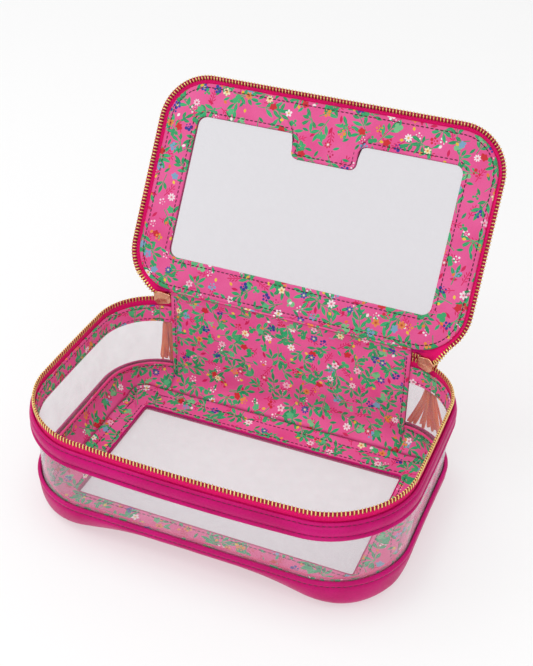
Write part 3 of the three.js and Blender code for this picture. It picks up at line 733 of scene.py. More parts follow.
def tape_material():
    """Herringbone zip tape."""
    net = Net("zip_tape")
    place = net.print_place()
    u, v, _ = net.split(place)
    zigzag = net.math("ABSOLUTE", net.math("SUBTRACT", net.math("FRACT", net.math("MULTIPLY", v, 0.6)), 0.5))
    slant = net.math("ADD", u, net.math("MULTIPLY", zigzag, 1.3))
    thread = net.math("SINE", net.math("MULTIPLY", slant, 9.5))
    cross = net.math("SINE", net.math("MULTIPLY", v, 14.0))
    height = net.math("MULTIPLY_ADD", cross, 0.3, thread)
    fuzz = net.noise(place, 1.8, 3, 0.7)
    colour = net.mix(net.remap(height, -0.9, 0.9), rgb(218, 0, 92), rgb(244, 12, 116))
    colour = net.mix(net.remap(fuzz, 0.3, 0.7, 0.0, 0.25), colour, rgb(236, 36, 132))
    normal = net.bump(height, 0.00011, 0.7)
    return net.finish(colour, net.remap(fuzz, 0.2, 0.8, 0.62, 0.85), normal, Sheen_Weight=0.03,
                      Sheen_Roughness=0.5, Specular_IOR_Level=0.12)


def metal_material(name, base, worn, deep, roughness):
    net = Net(name)
    place = net.millimetres()
    tone = net.noise(place, 0.35, 3)
    fine = net.noise(place, 5.0, 4, 0.7)
    island = net.node("ShaderNodeNewGeometry").outputs["Random Per Island"]
    colour = net.mix(net.remap(tone, 0.3, 0.7), base, worn)
    colour = net.mix(net.math("MULTIPLY", island, 0.3), colour, deep)
    rough = net.remap(fine, 0.3, 0.75, roughness - 0.04, roughness + 0.06)
    return net.finish(colour, rough, net.bump(fine, 0.000004, 0.2), Metallic=1.0)


def thread_material():
    net = Net("stitch_thread")
    place = net.millimetres()
    twist = net.node("ShaderNodeTexWave", bands_direction="DIAGONAL")
    net.feed(twist.inputs["Vector"], place)
    twist.inputs["Scale"].default_value = 2.2
    colour = net.mix(twist.outputs["Fac"], rgb(34, 10, 22), rgb(88, 20, 52))
    return net.finish(colour, 0.6, net.bump(twist.outputs["Fac"], 0.00008, 0.6))


def tassel_material():
    net = Net("tassel_leather")
    place = net.millimetres()
    island = net.node("ShaderNodeNewGeometry").outputs["Random Per Island"]
    tone = net.noise(place, 0.12, 3)
    grain = net.noise(place, 1.6, 4, 0.65)
    colour = net.mix(island, rgb(255, 120, 8), rgb(248, 88, 4))
    colour = net.mix(net.remap(tone, 0.35, 0.7, 0.0, 0.3), colour, rgb(255, 152, 72))
    colour = net.mix(net.remap(grain, 0.3, 0.5, 0.2, 0.0), colour, rgb(170, 66, 28))
    return net.finish(colour, net.remap(grain, 0.3, 0.7, 0.4, 0.6), net.bump(grain, 0.0001, 0.5))


def vinyl_material(name, tint, veil):
    """Clear vinyl: what is behind shows through, with a faint veil and a glossy skin."""
    net = Net(name)
    place = net.millimetres()
    wave = net.noise(place, 0.018, 2)
    haze = net.noise(place, 0.09, 3)
    normal = net.bump(wave, 0.0012, 0.5)
    clear = net.node("ShaderNodeBsdfTransparent")
    clear.inputs[0].default_value = tint
    skin = net.node("ShaderNodeBsdfPrincipled")
    skin.inputs["Base Color"].default_value = rgb(236, 232, 238)
    net.feed(skin.inputs["Roughness"], net.remap(haze, 0.3, 0.7, 0.05, 0.14))
    net.feed(skin.inputs["Normal"], normal)
    glance = net.node("ShaderNodeLayerWeight")
    glance.inputs["Blend"].default_value = 0.5
    net.feed(glance.inputs["Normal"], normal)
    # Schlick's rise from square-on to grazing, the same on both faces of the sheet.
    rise = net.math("MULTIPLY_ADD", net.math("POWER", glance.outputs["Facing"], 5.0), 0.6, 0.03)
    share = net.math("ADD", rise, net.remap(haze, 0.3, 0.75, veil, veil * 2.2), clamp=True)
    mixed = net.node("ShaderNodeMixShader")
    net.feed(mixed.inputs[0], share)
    net.tree.links.new(clear.outputs[0], mixed.inputs[1])
    net.tree.links.new(skin.outputs[0], mixed.inputs[2])
    net.tree.links.new(mixed.outputs[0], net.output.inputs["Surface"])
    return net.material


MAT = {
    "leather": leather_material("magenta_leather", rgb(184, 0, 98), rgb(200, 6, 114), rgb(126, 0, 62)),
    "floral": floral_material("floral_lining"),
    # The lid's lining: the same floral cloth, darkened to 0.83 as painted shade.
    "lid_floral_painted_shade": floral_material("floral_lid_painted_shade", 0.83),
    "edge": leather_material("pink_edge", rgb(238, 66, 132), rgb(246, 86, 148), rgb(205, 30, 96), 1.4, 0.42),
    "tape": tape_material(),
    "teeth": metal_material("gold_teeth", rgb(240, 208, 112), rgb(252, 234, 164), rgb(196, 148, 58), 0.26),
    "rose": metal_material("rose_gold", rgb(228, 160, 124), rgb(244, 194, 160), rgb(182, 106, 76), 0.22),
    "thread": thread_material(),
    "tassel": tassel_material(),
    # The zip cord under the teeth is real; its colour, darker than the tape, is painted shade in the gaps
    # between the teeth.
    "shade_cord": leather_material("zip_shade_cord", rgb(150, 4, 56), rgb(170, 8, 70), rgb(110, 0, 40), 1.4, 0.6),
    "vinyl": vinyl_material("clear_vinyl_wall", (0.93, 0.92, 0.925, 1), 0.045),
    "pane": vinyl_material("clear_lid_pane", (0.885, 0.88, 0.895, 1), 0.02),
    # Painted light: the floor's pane is the same vinyl, tinted lighter than the lid's so the shadow under the
    # case shows paler through it.
    "floor_pane": vinyl_material("clear_floor_pane_lightened", (0.95, 0.94, 0.945, 1), 0.03),
}

# ---------------------------------------------------------------- strips, stitches and teeth


def section_lengths(section):
    return running_lengths([Vector(p) for p in section], closed=True)


def wall_strip(name, section, span, look, slot, node=None, step=3.0, wrap=False, swell=None):
    """A band on the wall over a span of PLAN, from a closed section of (offset, height) points.

    An offset may be a depth instead, as ("depth", d): then the strip follows the sole's curve.
    swell adds to each offset."""
    places = spread(*span, step)
    if wrap:
        places = places[:-1]
    rows = []
    for offset, z in section:
        row = []
        for s in places:
            extra = swell(s, z) if swell else 0.0
            base = dish_offset(s, z, offset[1]) if isinstance(offset, tuple) else offset
            row.append(wall(s, z, base + extra))
        rows.append(row)
    flat = [(dish_offset(0.0, z, o[1]) if isinstance(o, tuple) else o, z) for o, z in section]
    mesher = Mesher()
    mesher.grid(rows, places + [span[1]], section_lengths(flat), wrap, True, caps=not wrap)
    return mesher.piece(name, look, "case", slot, node)


def add_stitch(mesher, here, along, out, length=STITCH_LENGTH, radius=STITCH_RADIUS):
    """One stitch: a short bead of thread that dives into the sheet at both ends."""
    side = along.cross(out)
    rings = []
    for share, thick, lift in ((-0.5, 0.35, -0.35), (-0.38, 0.85, -0.02), (0.0, 1.0, 0.12),
                               (0.38, 0.85, -0.02), (0.5, 0.35, -0.35)):
        centre = here + along * length * share + out * lift * 0.9
        ring = []
        for angle in turns(6):
            ring.append(centre + side * radius * thick * math.cos(angle)
                        + out * radius * thick * 0.8 * math.sin(angle))
        rings.append(ring)
    mesher.tube(rings)


def stitch_row(name, spots, body):
    """Stitches at places given as (point, direction along the seam, outward normal)."""
    mesher = Mesher()
    for here, along, out in spots:
        add_stitch(mesher, here, along, out)
    return mesher.piece(name, "thread", body, "leather")


def wall_stitches(z, offset, span):
    """Places for stitches along the wall at a height, facing away from its middle."""
    spots = []
    for s in spread(*span, STITCH_PITCH)[1:-1]:
        here, along, out = wall_frame(s, z)
        facing = math.copysign(1, offset) * out
        spots.append((Vector((here.x, here.y, z)) + out * offset, along, facing))
    return spots


def line_stitches(start, end, out):
    along = (end - start).normalized()
    length = (end - start).length
    return [(start + along * s, along, out) for s in spread(0, length, STITCH_PITCH)[1:-1]]


TOOTH_RINGS = ((-2.5, 0.26, 0.7), (-2.2, 0.5, 1.0), (-0.6, 0.54, 1.05), (0.4, 0.46, 0.85),
               (0.95, 0.42, 0.7), (1.2, 0.24, 0.45))


def add_tooth(mesher, here, along, across, head):
    """One zip tooth, clamped on the tape's edge, with its head pointing along head."""
    rings = []
    for up, half, thick in TOOTH_RINGS:
        ring = []
        for angle in turns(10, 0.5):
            a = math.copysign(abs(math.cos(angle)) ** 0.55, math.cos(angle)) * half
            b = math.copysign(abs(math.sin(angle)) ** 0.55, math.sin(angle)) * thick
            ring.append(here + along * a + across * b + head * up)
        rings.append(ring)
    mesher.tube(rings)


def rounded_section(inner, outer, low, high, lip=0.45, crown=0.0, steps=5):
    """A sheet's section with turned edges: from its inner face, over the top and down its outer face."""
    lip = min(lip, abs(outer - inner) / 2)
    sign = math.copysign(1, outer - inner)
    section = [(inner + sign * lip * 0.3, low + lip * 0.3), (inner, low + lip)]
    section += [(inner, low + (high - low) * k / steps) for k in range(1, steps)]
    section += [(inner, high - lip), (inner + sign * lip * 0.3, high - lip * 0.3)]
    middle = (inner + outer) / 2
    section.append((middle, high))
    section += [(outer - sign * lip * 0.3, high - lip * 0.3), (outer, high - lip)]
    for k in range(steps - 1, 0, -1):
        share = k / steps
        section.append((outer + crown * 4 * share * (1 - share), low + (high - low) * share))
    section += [(outer, low + lip), (outer - sign * lip * 0.3, low + lip * 0.3), (middle, low)]
    return section


# ---------------------------------------------------------------- sole and floor

WINDOW_LOOP = Loop([
    (-FLOOR_WINDOW_X, FLOOR_WINDOW_Y, 1.5), (-FLOOR_WINDOW_X, -FLOOR_WINDOW_Y, 1.5),
    (FLOOR_WINDOW_X, -FLOOR_WINDOW_Y, 1.5), (FLOOR_WINDOW_X, FLOOR_WINDOW_Y, 1.5),
])
FLOOR_PAIRS = matched(WINDOW_LOOP, range(4), PLAN, range(4), 2.5)


def floor_row(share, z, depth, window_shift=0.0):
    """A ring between the floor window's edge and the foot of the sole's curve."""
    row = []
    for a, b in FLOOR_PAIRS:
        inner = WINDOW_LOOP.offset(a, window_shift)
        outer = wall(b, z, dish_offset(b, depth, depth))
        row.append(Vector((inner.x, inner.y, z)).lerp(outer, share))
    return row


def dish_levels(depth, low, high, count=9):
    """Heights up the sole's curve, closer together near the floor."""
    return [low + (high - low) * (1 - math.cos(math.pi / 2 * k / count)) for k in range(count + 1)]


def planar_prints(mesher, shift=(0.0, 0.0)):
    """Print coordinates straight from above."""
    for face, corners in zip(mesher.faces, mesher.prints):
        corners[:] = [(mesher.points[i].x + shift[0], mesher.points[i].y + shift[1]) for i in face]


def make_sole():
    rows = [floor_row(0, LEATHER * 0.55, 0.0), floor_row(0, 0.25, 0.0), floor_row(0, 0.0, 0.0, 0.5)]
    rows += [floor_row(share, 0.0, 0.0) for share in (0.3, 0.65, 1.0)]
    for z in dish_levels(0.0, 0.0, SOLE_UP, 12)[1:] + [SOLE_UP + 0.6, SOLE_TOP - 2.7, SOLE_TOP - 1.2]:
        puff = 0.8 * smoothstep(z, 1.0, 7.0) * (1 - smoothstep(z, SOLE_UP - 0.4, SOLE_UP + 0.7))
        rows.append([wall(b, z, dish_offset(b, z, 0.0) + puff) for _, b in FLOOR_PAIRS])
    rows.append([wall(b, SOLE_TOP - 0.9, LEATHER_OUT - 0.35) for _, b in FLOOR_PAIRS])
    rows.append([wall(b, SOLE_TOP - 0.9, LEATHER_IN + 0.35) for _, b in FLOOR_PAIRS])
    rows.append([wall(b, SOLE_TOP - 1.0, LEATHER_IN) for _, b in FLOOR_PAIRS])
    for z in reversed(dish_levels(LEATHER, LEATHER, SOLE_UP, 6)[1:]):
        rows.append([wall(b, z, dish_offset(b, z, LEATHER)) for _, b in FLOOR_PAIRS])
    rows.append(floor_row(1.0, LEATHER, LEATHER))
    rows.append(floor_row(0.0, LEATHER, LEATHER))
    # Soft dents along the sides; the flat underside and the top edge stay true.
    for row in rows:
        for point in row:
            z = point.z
            if 1.0 < z < SOLE_TOP - 2 and point.length > 0:
                amount = 0.35 * ripple(point, 26, 2.0) + 0.12 * ripple(point, 9, 5.0)
                fade = min((z - 1.0) / 6, (SOLE_TOP - 2 - z) / 6, 1.0)
                direction = Vector((point.x / HALF_LENGTH, point.y / HALF_DEPTH, 0)).normalized()
                point += direction * (amount - 0.15) * max(fade, 0.0)
    mesher = Mesher()
    mesher.grid(rows, list(range(len(FLOOR_PAIRS) + 1)), list(range(len(rows) + 1)), True, True)
    mesher.piece("sole", "leather", "case", "leather", "sole_leather")


def make_sole_edge():
    low, high = SOLE_TOP - 2.5, SOLE_TOP + 0.3
    face = LEATHER_OUT
    section = [(face + 0.1, low + 0.3), (face + 0.1, high - 1.2), (face - 0.9, high - 0.35),
               (face - 1.2, high), (face - 0.7, high + 0.3), (face, high + 0.35), (face + 0.6, high + 0.15),
               (face + 1.0, high - 0.4), (face + 1.2, high - 1.2), (face + 1.15, low + 0.7),
               (face + 0.85, low + 0.15), (face + 0.4, low)]
    wall_strip("sole_edge", section, ALL_ROUND, "leather", "leather", "sole_edge_binding", 2.5, wrap=True)
    stitch_row("sole_edge_stitches", wall_stitches(low - 0.45, face + 0.35, ALL_ROUND), "case")


def make_floor():
    top = FLOOR_FACE
    under = top - LINING
    rows = [floor_row(0.0, under, top), floor_row(0.0, top - 0.35, top)]
    rows += [floor_row(0.0, top, top, 0.4), floor_row(0.0, top + 0.12, top, 1.6)]
    rows.append(floor_row(0.0, top - 0.05, top, 3.0))
    rows += [floor_row(share, top + 0.1, top, 3.4) for share in (0.12, 0.4, 0.7)]
    rows.append(floor_row(1.0, top, top))
    for z in (4.1, 4.6, 5.2, CREASE - 0.35):
        rows.append([wall(b, z, dish_offset(b, z, top)) for _, b in FLOOR_PAIRS])
    rows.append([wall(b, CREASE - 0.3, dish_offset(b, CREASE - 0.3, under) - 0.1) for _, b in FLOOR_PAIRS])
    for z in (4.6, 3.4):
        rows.append([wall(b, z, dish_offset(b, z, under)) for _, b in FLOOR_PAIRS])
    rows.append(floor_row(1.0, under, under))
    mesher = Mesher()
    mesher.grid(rows, list(range(len(FLOOR_PAIRS) + 1)), list(range(len(rows) + 1)), True, True)
    planar_prints(mesher, (210.0, 140.0))
    mesher.piece("floor_lining_print", "floral", "case", "floral_lining", "floor_lining")

    mesher = Mesher()
    rows = []
    for shift, z in ((-0.2, 2.6), (-0.35, 3.2), (-0.1, top + 0.1), (0.3, top + 0.24), (0.8, top + 0.2),
                     (0.95, top - 0.1)):
        rows.append([Vector((*WINDOW_LOOP.offset(a, shift), z)) for a, _ in FLOOR_PAIRS])
    along = running_lengths(rows[0], closed=True)
    mesher.grid(rows, along, [0, 0.7, 1.6, 2.5, 3.4, 3.8, 5], True, True)
    mesher.piece("floor_window_edge", "leather", "case", "floral_lining")

    spots = []
    up = Vector((0, 0, 1))
    for s in spread(0, WINDOW_LOOP.total, STITCH_PITCH)[:-1]:
        here, along_dir = WINDOW_LOOP.offset(s, 3.2), WINDOW_LOOP.tangent(s)
        spots.append((Vector((here.x, here.y, top + 0.05)), Vector((*along_dir, 0)), up))
    for s in spread(0, PLAN.total, STITCH_PITCH)[:-1]:
        here, along_dir, out = wall_frame(s, top)
        z = 4.25
        place = wall(s, z, dish_offset(s, z, top))
        spots.append((place, along_dir, (up - out * 0.35).normalized()))
    stitch_row("floor_stitches", spots, "case")


PIPING_RADIUS = 0.85


def make_side_lining():
    """The floral strip inside the sole's side, with its crease at the floor and a piped top."""
    inner = [(("depth", FLOOR_FACE), z) for z in spread(CREASE, SOLE_TOP, 1.5)]
    outer = [(("depth", FLOOR_FACE - LINING), z) for z in reversed(spread(CREASE, SOLE_TOP, 3.0))]
    wall_strip("side_lining_print", inner + outer, WALL_SPAN, "floral", "floral_lining", "lower_side_lining")
    pipe = []
    for angle in turns(10):
        pipe.append((LINING_IN - 0.35 + PIPING_RADIUS * math.cos(angle),
                     SOLE_TOP - 0.1 + PIPING_RADIUS * math.sin(angle)))
    wall_strip("side_lining_piping", pipe, WALL_SPAN, "edge", "floral_lining", "lower_lining_piping")
    spots = wall_stitches(SOLE_TOP - 2.9, LINING_IN - 0.02, SEAM_SPAN)
    stitch_row("side_lining_stitches", [(p, a, -wall_out(p, o)) for p, a, o in spots], "case")


def wall_out(point, facing):
    """The outward direction nearest to a facing: away from the case's middle."""
    away = Vector((point.x, point.y, 0)).normalized()
    return facing if facing.dot(away) > 0 else -facing


# ---------------------------------------------------------------- clear walls and rim band


def make_clear_wall():
    # Each crease: where it crosses the wall, its width, how far it stands out, and its lean.
    creases = ((150, 7.0, 0.3, 0.12), (196, 4.0, 0.3, 0.12), (268, 3.0, 0.3, 0.12), (352, 3.5, 0.3, 0.12),
               (455, 5.0, 0.3, 0.12), (505, 4.0, 0.3, 0.12), (204, 1.4, 0.5, 0.55), (211, 1.2, 0.35, 0.5),
               (228, 0.9, 0.2, 0.03), (301, 0.9, 0.2, 0.03))

    def swell(s, z):
        share = (z - SOLE_TOP) / (BAND_LOW - SOLE_TOP)
        fade = max(min(share, 1 - share) * 3.2, 0.0)
        fade = min(fade, 1.0)
        soft = 0.55 * perlin.noise(Vector((s / 48, z / 60, 3.0)))
        soft += 0.2 * perlin.noise(Vector((s / 17, z / 25, 8.0)))
        fold = 0.0
        for place, width, height, lean in creases:
            fold += height * math.exp(-((s - place - (z - 43) * lean) / width) ** 2)
        return fade * (soft + fold - 0.2)

    heights = spread(SOLE_UP, BAND_LOW + 4, 2.2)
    inner = [(-0.25, z) for z in heights]
    outer = [(0.25, z) for z in reversed(heights)]
    wall_strip("clear_wall_sheet", inner + outer, (WALL_START - 5, WALL_END + 5), "vinyl", "clear_vinyl",
               "clear_side_wall", 1.2, swell=swell)


def make_rim_band():
    face = LEATHER_OUT
    low, high = BAND_LOW, BAND_HIGH
    section = [(LEATHER_IN + 0.05, low + 0.4), (LEATHER_IN, low + 4), (LEATHER_IN, high - 4),
               (LEATHER_IN + 0.05, high - 0.4), (LEATHER_IN + 0.5, high + 0.15), (face + 0.05, high),
               (face + 0.6, high - 0.6), (face + 0.8, high - 1.2), (face + 0.6, high - 1.7),
               (face - 0.25, high - 2.3), (face + 0.9, high - 2.9), (face + 1.5, high - 4.4),
               (face + 1.6, (low + high) / 2), (face + 1.3, low + 5.4), (face + 0.8, low + 4.0),
               (face - 0.25, low + 3.2), (face + 1.2, low + 2.6), (face + 1.6, low + 1.7),
               (face + 1.2, low + 0.7), (face + 0.3, low + 0.1), (LEATHER_IN + 0.5, low)]

    def swell(s, z):
        point = wall(s, z, 0)
        puckers = 0.16 * ripple(point, 12, 1.0) + 0.2 * ripple(point, 34, 6.0)
        return puckers if low + 3 < z < high - 3 else 0.0

    wall_strip("rim_leather", section, WALL_SPAN, "leather", "leather", "upper_leather_band", 2.2,
               swell=swell)
    spots = wall_stitches(high - 2.35, face + 0.05, SEAM_SPAN)
    spots += wall_stitches(low + 3.25, face + 0.05, SEAM_SPAN)
    stitch_row("rim_leather_stitches", spots, "case")

    inner = rounded_section(LINING_OUT, LINING_IN, low, high, 0.4, -0.1, 6)
    wall_strip("rim_lining_print", inner, WALL_SPAN, "floral", "floral_lining", "upper_band_lining")
    spots = wall_stitches(high - 2.3, LINING_IN, SEAM_SPAN)
    spots += wall_stitches(low + 2.3, LINING_IN, SEAM_SPAN)
    stitch_row("rim_lining_stitches", spots, "case")


def make_rim_zip():
    top = CHAIN - 2.3
    span = (WALL_START - 4.5, WALL_END + 4.5)
    section = [(-0.3, BAND_LOW + 5), (-0.35, BAND_HIGH - 3), (-0.35, BAND_HIGH + 1.5), (-0.32, top - 1.6),
               (-0.35, top - 0.5), (0, top - 0.3), (0.35, top - 0.5),
               (0.32, top - 1.6), (0.35, BAND_HIGH + 1.5), (0.35, BAND_HIGH - 3), (0.3, BAND_LOW + 5)]
    wall_strip("rim_tape", section, span, "tape", "zip_tape", "rim_zip_tape", 2.5)
    # The cord's dark colour is painted shade in the gaps between the rim's teeth.
    shade_cord = [(-0.5, top - 0.6), (-0.55, top), (-0.3, top + 1.6), (0.3, top + 1.6), (0.55, top),
            (0.5, top - 0.6)]
    wall_strip("rim_shade_cord", shade_cord, span, "shade_cord", "zip_tape", step=2.5)

    mesher = Mesher()
    for s in spread(WALL_START + 1.2, WALL_END - 1.2, TOOTH_PITCH):
        here, along, out = wall_frame(s, CHAIN)
        add_tooth(mesher, Vector((here.x, here.y, CHAIN - TOOTH_FOOT)), along, out, Vector((0, 0, 1)))
    mesher.piece("rim_teeth", "teeth", "case", "zip_teeth", "rim_zip_teeth")


def corner_s(sign, angle):
    """The distance along PLAN at an angle round a rear corner from the rear wall."""
    arc = REAR_RADIUS * math.radians(angle)
    return arc if sign < 0 else PLAN.total - REAR_STRAIGHT - arc


def slider_angle(name):
    """How far round its corner a slider rests, from the place of its pull's joint."""
    centre = to_case(Vector(JOINTS[f"pull_{name}_swing"]["pos_m"]))
    reach = abs(centre.x) - (HALF_LENGTH - REAR_RADIUS)
    return math.degrees(math.atan2(reach, centre.y - (HALF_DEPTH - REAR_RADIUS)))


def make_closed_ends():
    """Beside the spine the zip stays shut: the lid's tape and teeth above the case's."""
    for name, sign in SIDES.items():
        angle = slider_angle(name)
        span = sorted((corner_s(sign, -7.5), corner_s(sign, angle + 5)))
        # The cord's dark colour is painted shade in the gaps between the shut teeth.
        shade_cord = [(-0.5, CHAIN + 2.9), (-0.55, CHAIN + 2.3), (-0.3, CHAIN - 0.6), (0.3, CHAIN - 0.6),
                (0.55, CHAIN + 2.3), (0.5, CHAIN + 2.9)]
        wall_strip(f"shut_shade_cord_{name}", shade_cord, span, "shade_cord", "zip_tape", step=1.5)
        section = [(-0.35, CHAIN + 2.8), (0, CHAIN + 2.6), (0.35, CHAIN + 2.8), (0.35, HINGE_Z - 1.8),
                   (0, HINGE_Z - 1.6), (-0.35, HINGE_Z - 1.8)]
        wall_strip(f"shut_tape_{name}", section, span, "tape", "zip_tape", f"closed_zip_tape_{name}", 1.5)
        mesher = Mesher()
        first, last = sorted((corner_s(sign, 1.6), corner_s(sign, angle - 3)))
        for s in spread(first, last, TOOTH_PITCH):
            here, along, out = wall_frame(s, CHAIN)
            foot = Vector((here.x, here.y, CHAIN + TOOTH_FOOT)) + along * TOOTH_PITCH / 2
            add_tooth(mesher, foot, along, out, Vector((0, 0, -1)))
        mesher.piece(f"shut_teeth_{name}", "teeth", "case", "zip_teeth", f"closed_zip_teeth_{name}")


# ---------------------------------------------------------------- spine and hinge


def make_spine():
    # Outer leather panel, with a row of stitches along both sides.
    low, high = SOLE_TOP + 0.4, SPINE_TOP
    y_in, y_out = HALF_DEPTH + LEATHER_IN, HALF_DEPTH + LEATHER_OUT
    xs = spread(-SPINE_HALF, SPINE_HALF, 3.0)
    zs = spread(low, high, 3.0)
    mesher = Mesher()
    outer = []
    for z in zs:
        row = []
        for x in xs:
            edge = min(SPINE_HALF - abs(x), z - low, high - z)
            puff = 0.35 * min(edge / 6, 1.0) - (0.3 if edge < 1.0 else 0.0)
            row.append(Vector((x, y_out + puff * 0.8 + 0.12 * ripple(Vector((x, 0, z)), 16, 4.0), z)))
        outer.append(row)
    inner = [[Vector((x, y_in, z)) for x in xs] for z in reversed(zs)]
    mesher.grid(outer + inner, xs + [0], list(range(len(zs) * 2 + 1)), False, True, caps=True)
    mesher.piece("spine_back", "leather", "case", "leather", "spine_leather")
    back = Vector((0, 1, 0))
    spots = []
    for x in (SPINE_SEAM - SPINE_HALF, SPINE_HALF - SPINE_SEAM):
        spots += line_stitches(Vector((x, y_out + 0.1, low + 1)), Vector((x, y_out + 0.1, high - 1)), back)
    stitch_row("spine_back_stitches", spots, "case")

    # Inner lining: up from the floor's crease, round the sole's curve and up to the hinge.
    face = HALF_DEPTH + LINING_IN
    heights = spread(CREASE, SOLE_UP, 1.6) + spread(SOLE_UP + 2, SPINE_TOP - 2, 4.0)
    front, rear = [], []
    for z in heights:
        row, back_row = [], []
        for x in xs:
            sag = min(0.3 * ripple(Vector((x, 20, z)), 30, 7.0), 0.1)
            place_s = -min(max(x, -SPINE_HALF + 1), SPINE_HALF - 1) - REAR_STRAIGHT / 2
            y = HALF_DEPTH + dish_offset(place_s, z, FLOOR_FACE)
            row.append(Vector((x, y + sag, z)))
            back_row.append(Vector((x, y + LINING * 0.9, z)))
        front.append(row)
        rear.append(back_row)
    rows = front + rear[::-1]
    mesher = Mesher()
    across = running_lengths([row[0] for row in rows], closed=True)
    mesher.grid(rows, xs + [0], across, False, True, caps=True)
    mesher.piece("spine_lining_print", "floral", "case", "floral_lining", "spine_lining")

    facing = Vector((0, -1, 0))
    edge_heights = spread(SOLE_UP - 5, SPINE_TOP - 1, 2.5)
    spots = []
    for name, sign in SIDES.items():
        x_edge = sign * SPINE_HALF
        rows = []
        for x, y in ((0.0, 0.6), (0.25, -0.1), (0.1, -0.75), (-0.6, -0.95), (-2.0, -0.9), (-3.3, -0.75),
                     (-3.6, -0.1), (-3.2, 0.3)):
            rows.append([Vector((x_edge + sign * x, face + y, z)) for z in edge_heights])
        mesher = Mesher()
        along = running_lengths(rows[0])
        mesher.grid(rows, along + [0], list(range(len(rows) + 1)), False, True, caps=True)
        mesher.piece(f"spine_edge_{name}", "floral", "case", "floral_lining", f"spine_binding_{name}")
        foot = Vector((sign * (SPINE_HALF - SPINE_SEAM), face - 0.9, SOLE_UP - 4))
        spots += line_stitches(foot, Vector((foot.x, foot.y, SPINE_TOP - 2)), facing)
    stitch_row("spine_lining_stitches", spots, "case")


def make_hinge():
    """The floral and the leather sheets that fold between the spine and the lid."""
    start, end = to_world((0, HINGE_Y, SPINE_TOP - 1)), to_world(lid_point(0, 3.5, 0))
    face = HALF_DEPTH + LINING_IN
    inner_path = [Vector((0, face + 0.2, SPINE_TOP - 5)), Vector((0, face - 0.05, SPINE_TOP - 2)),
                  Vector((0, face - 0.5, SPINE_TOP + 0.6)), Vector((0, face - 1.2, SPINE_TOP + 2.8)),
                  lid_point(0, 0.4, -0.9), lid_point(0, 2.2, -1.15), lid_point(0, 6.0, -1.15)]
    far = HALF_DEPTH + LEATHER_OUT
    depth = LID_LEATHER_TOP - LEATHER
    outer_path = [Vector((0, far - 0.3, SPINE_TOP - 5)), Vector((0, far + 0.35, SPINE_TOP - 1.5)),
                  Vector((0, far + 0.5, SPINE_TOP + 1.2)), Vector((0, far + 0.1, SPINE_TOP + 3.2)),
                  lid_point(0, 1.2, depth - 0.5), lid_point(0, 4.0, depth - 0.55),
                  lid_point(0, 8.0, depth - 0.3)]
    for name, path, look, slot, node, thick, half in (
            ("hinge_lining_print", inner_path, "floral", "floral_lining", None, 0.7, SPINE_HALF),
            ("hinge_outer_leather", outer_path, "leather", "leather", "hinge_leather", 1.0,
             SPINE_HALF - 0.5)):
        smooth = smooth_path(path, 14)
        rows = []
        for sign in (1, -1):
            row_set = []
            for i, p in enumerate(smooth):
                before, after = smooth[max(i - 1, 0)], smooth[min(i + 1, len(smooth) - 1)]
                along = (after - before).normalized()
                normal = Vector((0, -along.z, along.y)) * sign * thick / 2
                row_set.append([Vector((x, 0, 0)) + p + normal for x in spread(-half, half, 3.0)])
            rows += row_set if sign > 0 else row_set[::-1]
        xs = spread(-half, half, 3.0)
        across = running_lengths([row[0] for row in rows], closed=True)
        mesher = Mesher()
        mesher.grid(rows, xs + [0], [90 + a for a in across], False, True, caps=True)
        piece = mesher.piece(name, look, None, slot, node)
        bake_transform(piece)
        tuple(start)
        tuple(end)


def smooth_path(points, steps):
    """A Catmull-Rom curve through points, with steps samples on each span."""
    path = []
    for i in range(len(points) - 1):
        a, b = points[max(i - 1, 0)], points[i]
        c, d = points[i + 1], points[min(i + 2, len(points) - 1)]
        for k in range(steps):
            t = k / steps
            path.append(0.5 * (2 * b + (c - a) * t + (2 * a - 5 * b + 4 * c - d) * t * t
                               + (3 * b - a - 3 * c + d) * t ** 3))
    path.append(points[-1].copy())
    return path


# ---------------------------------------------------------------- lid

LID_LOOP = Loop([
    (-LID_HALF, LID_FAR, LID_RADIUS), (-LID_HALF, LID_NEAR, LID_RADIUS),
    (LID_HALF, LID_NEAR, LID_RADIUS), (LID_HALF, LID_FAR, LID_RADIUS),
])
WINDOW_HALF = LID_HALF - LID_FRAME
WINDOW_NEAR = LID_NEAR + LID_FRAME
WINDOW_FAR = LID_FAR - LID_FRAME
LID_WINDOW = Loop([
    (-WINDOW_HALF, WINDOW_FAR, LID_WINDOW_RADIUS), (-WINDOW_HALF, WINDOW_NEAR, LID_WINDOW_RADIUS),
    (WINDOW_HALF, WINDOW_NEAR, LID_WINDOW_RADIUS), (WINDOW_HALF, WINDOW_FAR, LID_WINDOW_RADIUS),
    (NOTCH_HALF, WINDOW_FAR, NOTCH_RADIUS), (NOTCH_HALF, WINDOW_FAR - NOTCH_DEPTH, NOTCH_RADIUS),
    (-NOTCH_HALF, WINDOW_FAR - NOTCH_DEPTH, NOTCH_RADIUS), (-NOTCH_HALF, WINDOW_FAR, NOTCH_RADIUS),
], 1.0)
LID_PAIRS = matched(LID_WINDOW, (0, 1, 2, 3), LID_LOOP, range(4), 2.0)


def lid_ring(share, height, window_shift=0.0, edge_shift=0.0):
    """A ring between the lid's window and its edge; both can be shifted outwards."""
    row = []
    for a, b in LID_PAIRS:
        inner, outer = LID_WINDOW.offset(a, window_shift), LID_LOOP.offset(b, edge_shift)
        place = inner.lerp(outer, share)
        row.append(lid_point(place.x, place.y, height))
    return row


